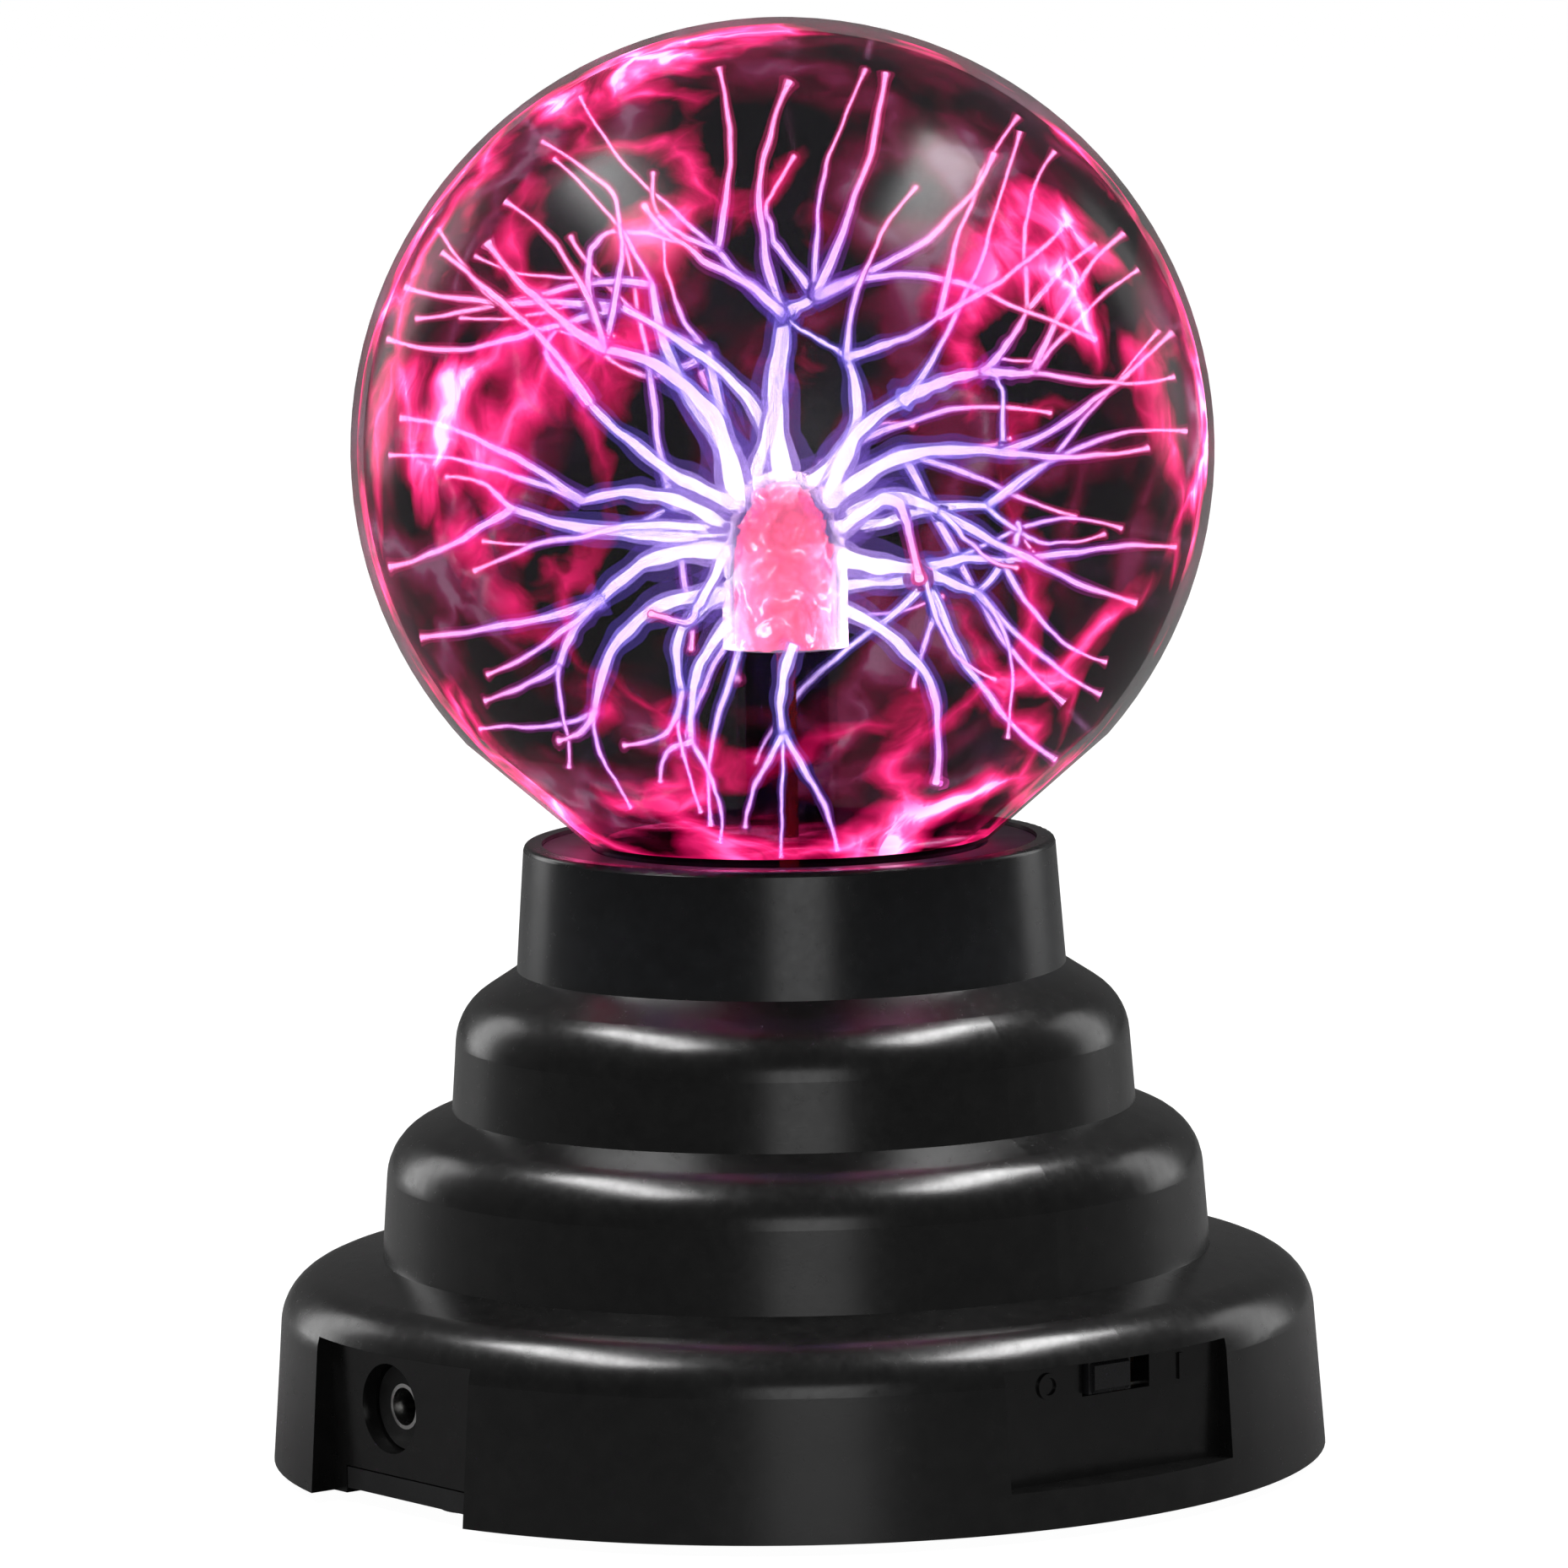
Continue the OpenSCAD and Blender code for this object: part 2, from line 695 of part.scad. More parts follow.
module reservoir_capacitor() {
    color("#20345c") translate([13, 11, z_parts]) rotate_extrude() {
        square([can_r, 2]);
        square([can_r - 0.35, 10.6]);
        translate([0, 2.7]) square([can_r, 7.7]);
    }
}

module film_capacitor() {
    color("#a8321e") translate([-5.5, -9, z_parts + 1]) {
        round_block(4, 10, 8, 1.2);
        for (y = [-3.7, 3.7]) translate([0, y, -1]) cylinder(h = 1, r = wire_r);
    }
}

// An axial part lying along y: a body with a lead bent down at each end
module axial(body_r, body_l, span) {
    z = body_r + 0.4;
    translate([0, 0, z]) rotate([90, 0, 0]) {
        cylinder(h = body_l, r = body_r, center = true);
        cylinder(h = span, r = wire_r, center = true);
    }
    for (y = [-1, 1]) translate([0, y * (span / 2 - wire_r), 0]) cylinder(h = z, r = wire_r);
}

module resistors() {
    color("#c9b48a") for (i = [0, 1]) translate([-21.5 + 4 * i, -9, z_parts]) axial(1.15, 6.2, 10);
}

module rectifier_diode() {
    color("#2c2c30") translate([-12.5, -12.5, z_parts]) axial(1.3, 5, 9);
}

module inlet_body() {
    nose_r = inlet_hole_d / 2 - 0.25;
    color("#0c0c0d") facing_inlet() difference() {
        union() {
            cylinder(h = inlet_step + 1, r = nose_r);
            translate([0, 0, inlet_step]) block(inlet_body_w, inlet_body_h, inlet_body_l);
        }
        translate([0, 0, -1]) cylinder(h = sleeve_l + 1, r = sleeve_out_r);
    }
}

module inlet_sleeve() {
    color("#d8d8d8") facing_inlet() difference() {
        cylinder(h = sleeve_l, r = sleeve_out_r);
        translate([0, 0, -1]) cylinder(h = sleeve_l + 2, r = sleeve_r);
    }
}

module inlet_pin() {
    pin_r = pin_d / 2;
    color("#e0c878") facing_inlet() translate([0, 0, inlet_pin_back]) rotate_extrude() intersection() {
        union() {
            translate([0, pin_r]) circle(pin_r);
            translate([0, pin_r]) square([pin_r, sleeve_l - inlet_pin_back - pin_r]);
        }
        square([pin_d, sleeve_l]);
    }
}

module inlet_tags() {
    color("#c8c8c8") facing_inlet() translate([0, 0, inlet_step + inlet_body_l])
        for (i = [-1 : 1]) translate([i * tag_pitch, -1, 0]) block(tag_w, 0.4, tag_l);
}

module switch_frame() {
    plate_l = switch_w + 2 * ear_w;
    color("#c4c6c8") translate([pocket_back_r - frame_t, slot_y, z_slot]) difference() {
        union() {
            translate([0, -plate_l / 2, -switch_h / 2]) cube([frame_t, plate_l, switch_h]);
            translate([-switch_deep + frame_t, -switch_w / 2, -switch_h / 2])
                cube([switch_deep, switch_w, switch_h]);
        }
        translate([-switch_deep + frame_t - 1, -switch_w / 2 + frame_t, -switch_h / 2 + frame_t])
            cube([switch_deep + 1 - frame_t, switch_w - 2 * frame_t, switch_h - 2 * frame_t]);
        translate([-1, -slot_w / 2, -knob_h / 2 - fit]) cube([3, slot_w, knob_h + 2 * fit]);
        for (s = [-1, 1]) translate([-1, s * (switch_w + ear_w) / 2, 0]) rotate([0, 90, 0])
            cylinder(h = 3, r = 0.9);
    }
}

module at_switch_back() {
    translate([switch_back_r, slot_y, z_slot]) children();
}

module switch_base() {
    color("#7a4a24") at_switch_back() difference() {
        translate([-1.6, -switch_w / 2, -switch_h / 2]) cube([1.6, switch_w, switch_h]);
        for (y = terminal_y) translate([-3, y - terminal_w / 2, -terminal_t / 2])
            cube([5, terminal_w, terminal_t]);
    }
}

module switch_terminals() {
    color("#d0c8b0") at_switch_back() for (y = terminal_y)
        translate([-terminal_out, y - terminal_w / 2, -terminal_t / 2])
            cube([terminal_out + 0.4, terminal_w, terminal_t]);
}

module switch_knob() {
    chamfer = 0.4;
    knob_l = pocket_r + knob_proud - flange_x;
    flange = [knob_flange_t, knob_w + 1, switch_h - 2 * frame_t - 0.4];
    color("#08080a") translate([0, knob_y, z_slot]) {
        translate([flange_x, -flange.y / 2, -flange.z / 2]) cube(flange);
        translate([flange_x, 0, 0]) rotate([90, 0, 0]) linear_extrude(knob_w - 2 * chamfer, center = true)
            polygon([
                [0, -knob_h / 2], [knob_l - chamfer, -knob_h / 2], [knob_l, -knob_h / 2 + chamfer],
                [knob_l, knob_h / 2 - chamfer], [knob_l - chamfer, knob_h / 2], [0, knob_h / 2]
            ]);
        translate([flange_x, -knob_w / 2, -knob_h / 2]) cube([knob_l - chamfer, knob_w, knob_h]);
    }
}

module switch_wiper() {
    near_x = switch_back_r + 0.4 + wiper_gap;
    color("#d8b060") translate([near_x, knob_y, z_slot]) {
        for (y = [-2.1, 2.1]) translate([0, y - 0.6, -1]) cube([flange_x - near_x, 1.2, 2]);
        translate([flange_x - near_x - 0.4, -2.7, -1]) cube([0.4, 5.4, 2]);
    }
}

function cell_x(i) = bay_x + (i - (cell_count - 1) / 2) * cell_pitch;
function cell_way(i) = i % 2 == 0 ? 1 : -1;

// Places its child at a cell's middle, with the cell's positive end towards +Z
module at_cell(i) {
    shift = (spring_len / 2) * cell_way(i);
    translate([cell_x(i), bay_y + shift, z_cells + cell_d / 2])
        rotate([-90 * cell_way(i), 0, 0]) children();
}

module dry_cells() {
    edge = 0.5;
    r = cell_d / 2;
    body_l = cell_len - button_l;
    color("#b8bcc0") for (i = [0 : cell_count - 1])
        at_cell(i) translate([0, 0, -cell_len / 2]) rotate_extrude() polygon([
            [0, 0], [r - edge, 0], [r, edge], [r, body_l - edge], [r - edge, body_l],
            [button_r, body_l], [button_r, cell_len - 0.2], [button_r - 0.2, cell_len], [0, cell_len]
        ]);
}

module cell_springs() {
    turns = 3;
    coil_r = 0.28;
    steps = 10;
    n = turns * steps;
    rise = spring_len - 2 * coil_r - 0.04;
    color("#d4d6d8") for (i = [0 : cell_count - 1])
        at_cell(i) translate([0, 0, -cell_len / 2 - spring_len]) bar([
            for (k = [0 : n])
                let (t = k / n, r = 3.6 - 1.6 * t)
                [r * cos(k * 360 / steps), r * sin(k * 360 / steps), coil_r + 0.02 + t * rise]
        ], coil_r, 6);
}

// Contact plates: single ones for the two ends of the chain, double ones that join neighbours
module cell_contacts() {
    plate = 8.6;
    link = cell_pitch + plate;
    z = z_cells + cell_d / 2 - plate / 2;
    far_y = bay_y + bay_l / 2;
    near_y = bay_y - bay_l / 2;
    color("#d9dadc") {
        for (i = [0, 2]) translate([(cell_x(i) + cell_x(i + 1)) / 2, far_y - contact_t / 2, z])
            block(link, contact_t, plate);
        translate([(cell_x(1) + cell_x(2)) / 2, near_y + contact_t / 2, z]) block(link, contact_t, plate);
        for (i = [0, 3]) translate([cell_x(i), near_y + contact_t / 2, z]) block(plate, contact_t, plate);
    }
}

// A pan-head screw pointing up, with the underside of its head at z = 0
module screw(l) {
    head_h = 1.6;
    head_r = screw_head_d / 2;
    color("#9a9da2") difference() {
        union() {
            translate([0, 0, -head_h]) rotate_extrude()
                polygon([[0, 0], [head_r - 0.5, 0], [head_r, 0.6], [head_r, head_h], [0, head_h]]);
            cylinder(h = l, r = pilot_r - 0.05);
        }
        for (a = [0, 90]) rotate(a) translate([0, 0, -head_h - 1]) block(2.6, 0.6, 1.8);
    }
}

module cover_screws() {
    ring_of(boss_base_r, screw_angles) translate([0, 0, z_cover + cover_sink]) screw(cover_screw_l);
}

module board_screws() {
    at_board_corners() translate([0, 0, z_board]) screw(board_screw_l);
}

module high_voltage_lead() {
    r = high_lead_r;
    top = [0, 0, z_head - head_len - 0.1];
    foot = [trafo_x + 4, trafo_y + cheek_r + 0.2 + r, z_parts + 9];
    color("#c8342c") bar(concat(
        [top, [0, 0, (top.z + z_tube) / 2]],
        curve([0, 0, z_tube + 2], [0, 0, z_tube - 6], foot + [8, 3, 6], foot)
    ), r);
}

// Two leads from the inlet's tags up to the board's near edge
module inlet_leads() {
    tag_y = -pocket_back_r + inlet_body_l + tag_l + lead_r + 0.1;
    color("#b02820") for (s = [-1, 1]) {
        a = [inlet_x + tag_pitch * s, tag_y, z_inlet];
        d = [3 * s - 4, -board_l / 2 + 1.2, z_board - 0.2];
        bar(curve(a, a + [0, 0.5, 7], d - [0, 0, 2.5], d), lead_r);
    }
}

// Two leads from the switch's middle and end terminals up to the board
module switch_leads() {
    color("#2a2a30") for (y = [terminal_y[0], terminal_y[1]]) {
        a = [switch_back_r - terminal_out - lead_r - 0.1, slot_y + y, z_slot];
        d = [board_w / 2 - 4, y, z_board - 0.2];
        bar(curve(a, a + [-4, 0, 2], d - [0, 0, 4], d), lead_r);
    }
}

// Two leads from the ends of the chain of cells, over the bay's wall, up to the board
module cell_leads() {
    color("#903028") for (i = [0, 3]) {
        a = [cell_x(i), bay_y - bay_l / 2 - bay_t - lead_r - 0.1, z_bay - 3];
        d = [cell_x(i) * 0.7, -board_l / 2 + 6, z_board - 0.2];
        bar(curve(a, a + [0, -3, 9], d - [0, 0, 3], d), lead_r);
    }
}

upper_housing();
collar_ring();
base_cover();
battery_door();
rubber_feet();
glass_globe();
electrode_tube();
electrode_wool();
exhaust_tip();
neck_bond();
high_voltage_lead();
driver_board();
transformer_core();
transformer_bobbin();
primary_winding();
secondary_winding();
power_transistor();
heat_sink();
reservoir_capacitor();
film_capacitor();
resistors();
rectifier_diode();
inlet_body();
inlet_sleeve();
inlet_pin();
inlet_tags();
switch_frame();
switch_base();
switch_terminals();
switch_knob();
switch_wiper();
dry_cells();
cell_springs();
cell_contacts();
cover_screws();
board_screws();
inlet_leads();
switch_leads();
cell_leads();
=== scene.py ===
import json
import math
import bpy
import numpy as np
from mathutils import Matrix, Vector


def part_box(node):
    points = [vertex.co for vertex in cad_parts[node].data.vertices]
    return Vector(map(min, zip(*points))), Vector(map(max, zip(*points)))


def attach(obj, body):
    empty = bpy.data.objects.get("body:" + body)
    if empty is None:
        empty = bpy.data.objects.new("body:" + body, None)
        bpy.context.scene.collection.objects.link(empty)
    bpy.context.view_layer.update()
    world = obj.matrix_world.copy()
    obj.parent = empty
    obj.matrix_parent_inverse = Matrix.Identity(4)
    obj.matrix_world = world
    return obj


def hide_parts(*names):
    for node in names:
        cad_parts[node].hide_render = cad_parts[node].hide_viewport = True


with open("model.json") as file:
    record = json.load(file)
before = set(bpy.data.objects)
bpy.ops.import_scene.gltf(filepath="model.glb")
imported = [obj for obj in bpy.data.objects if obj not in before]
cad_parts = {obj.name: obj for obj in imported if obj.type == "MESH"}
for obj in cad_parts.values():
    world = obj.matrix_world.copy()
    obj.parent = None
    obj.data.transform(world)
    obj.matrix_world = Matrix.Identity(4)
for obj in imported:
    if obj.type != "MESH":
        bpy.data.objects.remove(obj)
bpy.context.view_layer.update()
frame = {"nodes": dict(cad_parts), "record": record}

mm = 0.001
scene = bpy.context.scene
scene.view_settings.view_transform = "Standard"
print("frame loaded:", len(frame["nodes"]), "nodes")

globeLow, globeHigh = (np.array(c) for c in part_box("glass_globe"))
tubeLow, tubeHigh = (np.array(c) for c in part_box("electrode_tube"))
woolLow, woolHigh = (np.array(c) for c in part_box("electrode_wool"))
globeRadius = (globeHigh[0] - globeLow[0]) / 2
globeCentre = np.array([0.0, 0.0, globeHigh[2] - globeRadius])
headRadius = (tubeHigh[0] - tubeLow[0]) / 2
headCentre = np.array([0.0, 0.0, tubeHigh[2] - headRadius])

# the lamp's front lies between its inlet and its switch
front = {"azimuth": 52.0}
frontAngle = math.radians(front["azimuth"])
toward = np.array([math.sin(frontAngle), -math.cos(frontAngle), 0.0])
across = np.array([math.cos(frontAngle), math.sin(frontAngle), 0.0])
upward = np.array([0.0, 0.0, 1.0])


cameraSettings = {
    "distance": 0.9172,    # from the axis, level
    "height": 0.1713,
    "slide": -0.0004,      # along the across direction
    "pitch": 6.713,        # degrees down
    "roll": -1.0,
    "lens": 228.0,
}


def makeCamera(s):
    camera = bpy.data.objects.new("camera", bpy.data.cameras.new("camera"))
    scene.collection.objects.link(camera)
    camera.data.lens = s["lens"]
    camera.data.clip_start, camera.data.clip_end = 0.01, 60.0
    place = toward * s["distance"] + across * s["slide"] + upward * s["height"]
    camera.location = place
    camera.rotation_mode = "XYZ"
    camera.rotation_euler = (math.radians(90 - s["pitch"]), 0.0, frontAngle)
    turned = camera.rotation_euler.to_matrix().to_4x4()
    roll = math.radians(s["roll"])
    turned = turned @ type(turned).Rotation(roll, 4, "Z")
    camera.rotation_euler = turned.to_euler()
    scene.camera = camera


makeCamera(cameraSettings)


def newMaterial(name):
    material = bpy.data.materials.new(name)
    material.use_nodes = True
    tree = material.node_tree
    shader = next(n for n in tree.nodes if n.type == "BSDF_PRINCIPLED")
    return material, tree, shader


def node(tree, kind, **values):
    made = tree.nodes.new(kind)
    for key, value in values.items():
        if key in made.inputs:
            made.inputs[key].default_value = value
        else:
            setattr(made, key, value)
    return made


def objectPlace(tree, scale=(1.0, 1.0, 1.0)):
    coordinates = node(tree, "ShaderNodeTexCoord")
    mapping = node(tree, "ShaderNodeMapping", Scale=scale)
    tree.links.new(coordinates.outputs["Object"], mapping.inputs["Vector"])
    return mapping.outputs["Vector"]


def noise(tree, place, scale, detail=3.0, roughness=0.5, distortion=0.0):
    made = node(tree, "ShaderNodeTexNoise", Scale=scale, Detail=detail, Roughness=roughness,
                Distortion=distortion)
    tree.links.new(place, made.inputs["Vector"])
    return made.outputs["Fac"]


def ramp(tree, value, stops):
    made = node(tree, "ShaderNodeValToRGB")
    while len(made.color_ramp.elements) < len(stops):
        made.color_ramp.elements.new(0.5)
    for element, (position, colour) in zip(made.color_ramp.elements, stops):
        element.position = position
        element.color = (*colour, 1.0)
    tree.links.new(value, made.inputs["Fac"])
    return made.outputs["Color"]


def maths(tree, operation, first, second=None, clamp=False):
    made = node(tree, "ShaderNodeMath", operation=operation, use_clamp=clamp)
    for socket, value in zip(made.inputs, (first, second)):
        if value is None:
            continue
        if isinstance(value, (int, float)):
            socket.default_value = value
        else:
            tree.links.new(value, socket)
    return made.outputs["Value"]


def vectorMaths(tree, operation, first, second):
    made = node(tree, "ShaderNodeVectorMath", operation=operation)
    tree.links.new(first, made.inputs[0])
    if isinstance(second, tuple):
        made.inputs[1].default_value = second
    else:
        tree.links.new(second, made.inputs[1])
    return made.outputs["Value" if operation == "DOT_PRODUCT" else "Vector"]


def bump(tree, shader, height, strength, distance):
    made = node(tree, "ShaderNodeBump", Strength=strength, Distance=distance)
    tree.links.new(height, made.inputs["Height"])
    tree.links.new(made.outputs["Normal"], shader.inputs["Normal"])


def grey(level):
    return (level, level, level)


# colours are the two ends of a slow mottle; grain is bumps to the metre; depth is the bumps' height in mm
finishes = {
    "ringAbs": {"colours": ((0.018, 0.018, 0.020), (0.030, 0.030, 0.033)), "roughness": (0.42, 0.5),
                "grain": 5200, "depth": 0.01, "mottle": 300},
    "coverAbs": {"colours": ((0.010, 0.010, 0.010), (0.017, 0.017, 0.018)), "roughness": (0.45, 0.58),
                 "grain": 2600, "depth": 0.03, "mottle": 200},
    "knobAbs": {"colours": ((0.014, 0.014, 0.015), (0.022, 0.022, 0.024)), "roughness": (0.22, 0.34),
                "grain": 3600, "depth": 0.008, "mottle": 400},
    "rubber": {"colours": ((0.020, 0.020, 0.020), (0.036, 0.035, 0.034)), "roughness": (0.72, 0.88),
               "grain": 1800, "depth": 0.05, "mottle": 350},
    "silicone": {"colours": ((0.32, 0.32, 0.31), (0.45, 0.45, 0.43)), "roughness": (0.35, 0.5),
                 "grain": 700, "depth": 0.08, "mottle": 160},
    "redLead": {"colours": ((0.42, 0.015, 0.012), (0.55, 0.030, 0.022)), "roughness": (0.35, 0.45),
                "grain": 1500, "depth": 0.01, "mottle": 240},
    "blackLead": {"colours": ((0.012, 0.012, 0.012), (0.022, 0.022, 0.023)), "roughness": (0.35, 0.45),
                  "grain": 1500, "depth": 0.01, "mottle": 240},
    "ferrite": {"colours": ((0.030, 0.030, 0.032), (0.055, 0.054, 0.054)), "roughness": (0.5, 0.7),
                "grain": 2400, "depth": 0.04, "mottle": 500},
    "nylon": {"colours": ((0.70, 0.68, 0.60), (0.80, 0.78, 0.71)), "roughness": (0.35, 0.5), "grain": 1500,
              "depth": 0.02, "mottle": 150},
    "epoxyBlack": {"colours": ((0.014, 0.014, 0.014), (0.028, 0.028, 0.028)), "roughness": (0.5, 0.65),
                   "grain": 4000, "depth": 0.02, "mottle": 500},
    "capacitorSleeve": {"colours": ((0.012, 0.020, 0.075), (0.020, 0.032, 0.11)), "roughness": (0.22, 0.35),
                        "grain": 900, "depth": 0.02, "mottle": 260},
    "capacitorDip": {"colours": ((0.30, 0.055, 0.015), (0.42, 0.085, 0.025)), "roughness": (0.25, 0.42),
                     "grain": 700, "depth": 0.06, "mottle": 220},
    "phenolic": {"colours": ((0.16, 0.075, 0.030), (0.24, 0.12, 0.050)), "roughness": (0.45, 0.6),
                 "grain": 1800, "depth": 0.03, "mottle": 320},
    "aluminium": {"colours": ((0.55, 0.56, 0.57), (0.68, 0.68, 0.69)), "roughness": (0.28, 0.45),
                  "grain": 2600, "depth": 0.015, "mottle": 260, "metal": 1.0, "brush": (1.0, 1.0, 12.0)},
    "platedMetal": {"colours": ((0.66, 0.66, 0.65), (0.80, 0.80, 0.79)), "roughness": (0.16, 0.28),
                    "grain": 1600, "depth": 0.01, "mottle": 500, "metal": 1.0},
    "steel": {"colours": ((0.42, 0.42, 0.43), (0.56, 0.56, 0.56)), "roughness": (0.25, 0.4), "grain": 1900,
              "depth": 0.015, "mottle": 400, "metal": 1.0},
    "brass": {"colours": ((0.62, 0.44, 0.16), (0.74, 0.55, 0.24)), "roughness": (0.25, 0.4), "grain": 1600,
              "depth": 0.012, "mottle": 420, "metal": 1.0},
}


# One finish: a slow noise mixes the two colours and moves the roughness, a fine noise raises the grain.
def makeFinish(name, s):
    material, tree, shader = newMaterial(name)
    place = objectPlace(tree, scale=s.get("brush", (1.0, 1.0, 1.0)))
    mottle = noise(tree, place, s["mottle"], 4.0, 0.6)
    dark, light = s["colours"]
    tree.links.new(ramp(tree, mottle, [(0.3, dark), (0.7, light)]), shader.inputs["Base Color"])
    low, high = s["roughness"]
    tree.links.new(ramp(tree, mottle, [(0.3, grey(low)), (0.7, grey(high))]), shader.inputs["Roughness"])
    shader.inputs["Metallic"].default_value = s.get("metal", 0.0)
    bump(tree, shader, noise(tree, place, s["grain"], 3.0, 0.6), 0.6, s["depth"] * mm)
    return material


# The base's moulding: polished black with a fine mould grain; from the collar up the colour is lighter and a
# touch bluer than on the tiers below.
baseFinish = {"collarStart": 0.0455, "collarEnd": 0.0475, "grain": 3800, "grainDepth": 0.006,
              "tiers": ((0.0045, 0.0045, 0.0045), (0.0085, 0.0085, 0.0083)),
              "collar": ((0.0075, 0.0080, 0.0092), (0.0120, 0.0130, 0.0150)),
              "roughness": (0.21, 0.29), "specular": 0.5}


def blackAbs(s):
    material, tree, shader = newMaterial("blackAbs")
    place = objectPlace(tree)
    height = node(tree, "ShaderNodeSeparateXYZ")
    tree.links.new(place, height.inputs["Vector"])
    span = s["collarEnd"] - s["collarStart"]
    above = maths(tree, "SUBTRACT", height.outputs["Z"], s["collarStart"])
    mottle = noise(tree, place, 420, 5.0, 0.65)
    mix = node(tree, "ShaderNodeMix", data_type="RGBA")
    tree.links.new(maths(tree, "DIVIDE", above, span, clamp=True), mix.inputs["Factor"])
    for socket, part in ((6, "tiers"), (7, "collar")):      # the colour mix's two ends
        dark, light = s[part]
        tree.links.new(ramp(tree, mottle, [(0.35, dark), (0.7, light)]), mix.inputs[socket])
    tree.links.new(mix.outputs[2], shader.inputs["Base Color"])
    low, high = s["roughness"]
    tree.links.new(ramp(tree, noise(tree, place, 900, 4.0, 0.7), [(0.3, grey(low)), (0.75, grey(high))]),
                   shader.inputs["Roughness"])
    shader.inputs["Specular IOR Level"].default_value = s["specular"]
    grain = noise(tree, place, s["grain"], 2.0, 0.5)
    bump(tree, shader, grain, 0.5, s["grainDepth"] * mm)
    return material


# Glass: dark, clear and glossy. The globe's near-black colour at 0.7 alpha is a painted dark sheet that
# stands in for the darkness behind the discharge, so that the discharge shows against black.
glassSettings = {
    "globe": {"colour": (0.002, 0.002, 0.003), "alpha": 0.70, "roughness": 0.17, "specular": 0.14},
    "tube": {"colour": (0.012, 0.008, 0.040), "alpha": 0.12, "roughness": 0.04, "specular": 0.5},
}


def glass(name, s):
    material, tree, shader = newMaterial(name)
    place = objectPlace(tree)
    shader.inputs["Base Color"].default_value = (*s["colour"], 1.0)
    shader.inputs["Alpha"].default_value = s["alpha"]
    shader.inputs["Specular IOR Level"].default_value = s["specular"]
    smear = noise(tree, place, 60, 3.0, 0.6)
    tree.links.new(ramp(tree, smear, [(0.35, grey(s["roughness"])), (0.75, grey(s["roughness"] * 1.5))]),
                   shader.inputs["Roughness"])
    bump(tree, shader, noise(tree, place, 26, 1.0, 0.4), 0.12, 0.05 * mm)
    return material


# Enamelled wire: fine rings round the vertical axis of the winding, with darker gaps between turns, painted
# shade in the grooves between the wires.
windingSettings = {"turns": 2600.0, "wire": (0.72, 0.26, 0.09), "gap": (0.16, 0.05, 0.02)}


def copperWire(s):
    material, tree, shader = newMaterial("copperWire")
    place = objectPlace(tree)
    wave = node(tree, "ShaderNodeTexWave", wave_type="BANDS", bands_direction="Z", Scale=s["turns"],
                Distortion=0.6, Detail=1.0)
    tree.links.new(place, wave.inputs["Vector"])
    tree.links.new(ramp(tree, wave.outputs["Fac"], [(0.1, s["gap"]), (0.5, s["wire"])]),
                   shader.inputs["Base Color"])
    shader.inputs["Metallic"].default_value = 0.85
    shader.inputs["Roughness"].default_value = 0.32
    bump(tree, shader, wave.outputs["Fac"], 0.8, 0.06 * mm)
    return material


# Circuit board: solder mask with copper runs showing through as a slightly raised, lighter maze.
boardSettings = {"mask": (0.008, 0.060, 0.022), "run": (0.018, 0.120, 0.045), "pitch": 260.0}


def boardMask(s):
    material, tree, shader = newMaterial("boardMask")
    place = objectPlace(tree)
    cells = node(tree, "ShaderNodeTexVoronoi", feature="DISTANCE_TO_EDGE", distance="EUCLIDEAN",
                 Scale=s["pitch"], Randomness=0.55)
    tree.links.new(place, cells.inputs["Vector"])
    runs = ramp(tree, cells.outputs["Distance"], [(0.05, grey(1.0)), (0.09, grey(0.0))])
    mix = ramp(tree, cells.outputs["Distance"], [(0.05, s["run"]), (0.09, s["mask"])])
    tree.links.new(mix, shader.inputs["Base Color"])
    shader.inputs["Roughness"].default_value = 0.3
    bump(tree, shader, runs, 0.7, 0.04 * mm)
    return material


# Resistor lacquer: a beige body crossed by soft colour bands along its length.
resistorSettings = {"body": (0.55, 0.42, 0.26), "band": (0.28, 0.09, 0.04), "pitch": 420.0}


def resistorLacquer(s):
    material, tree, shader = newMaterial("resistorLacquer")
    place = objectPlace(tree)
    wave = node(tree, "ShaderNodeTexWave", wave_type="BANDS", bands_direction="X", Scale=s["pitch"])
    tree.links.new(place, wave.inputs["Vector"])
    tree.links.new(ramp(tree, wave.outputs["Fac"], [(0.62, s["body"]), (0.78, s["band"])]),
                   shader.inputs["Base Color"])
    shader.inputs["Roughness"].default_value = 0.3
    bump(tree, shader, noise(tree, place, 1600, 3.0, 0.6), 0.4, 0.02 * mm)
    return material


# Dry cell jacket: a printed sleeve, dark over most of its length and copper-coloured towards one end.
cellSettings = {"dark": (0.012, 0.014, 0.018), "light": (0.62, 0.34, 0.12)}


def cellJacket(s):
    material, tree, shader = newMaterial("cellJacket")
    low, high = (np.array(c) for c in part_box("dry_cells"))
    place = objectPlace(tree)
    split = node(tree, "ShaderNodeSeparateXYZ")
    tree.links.new(place, split.inputs["Vector"])
    along = maths(tree, "SUBTRACT", split.outputs["Y"], float(low[1]))
    share = maths(tree, "DIVIDE", along, float(high[1] - low[1]))
    stops = [(0.0, s["light"]), (0.30, s["light"]), (0.315, s["dark"]), (1.0, s["dark"])]
    tree.links.new(ramp(tree, share, stops), shader.inputs["Base Color"])
    shader.inputs["Metallic"].default_value = 0.35
    tree.links.new(ramp(tree, noise(tree, place, 500, 4.0, 0.6), [(0.3, grey(0.2)), (0.7, grey(0.34))]),
                   shader.inputs["Roughness"])
    bump(tree, shader, noise(tree, place, 1200, 3.0, 0.6), 0.3, 0.02 * mm)
    return material


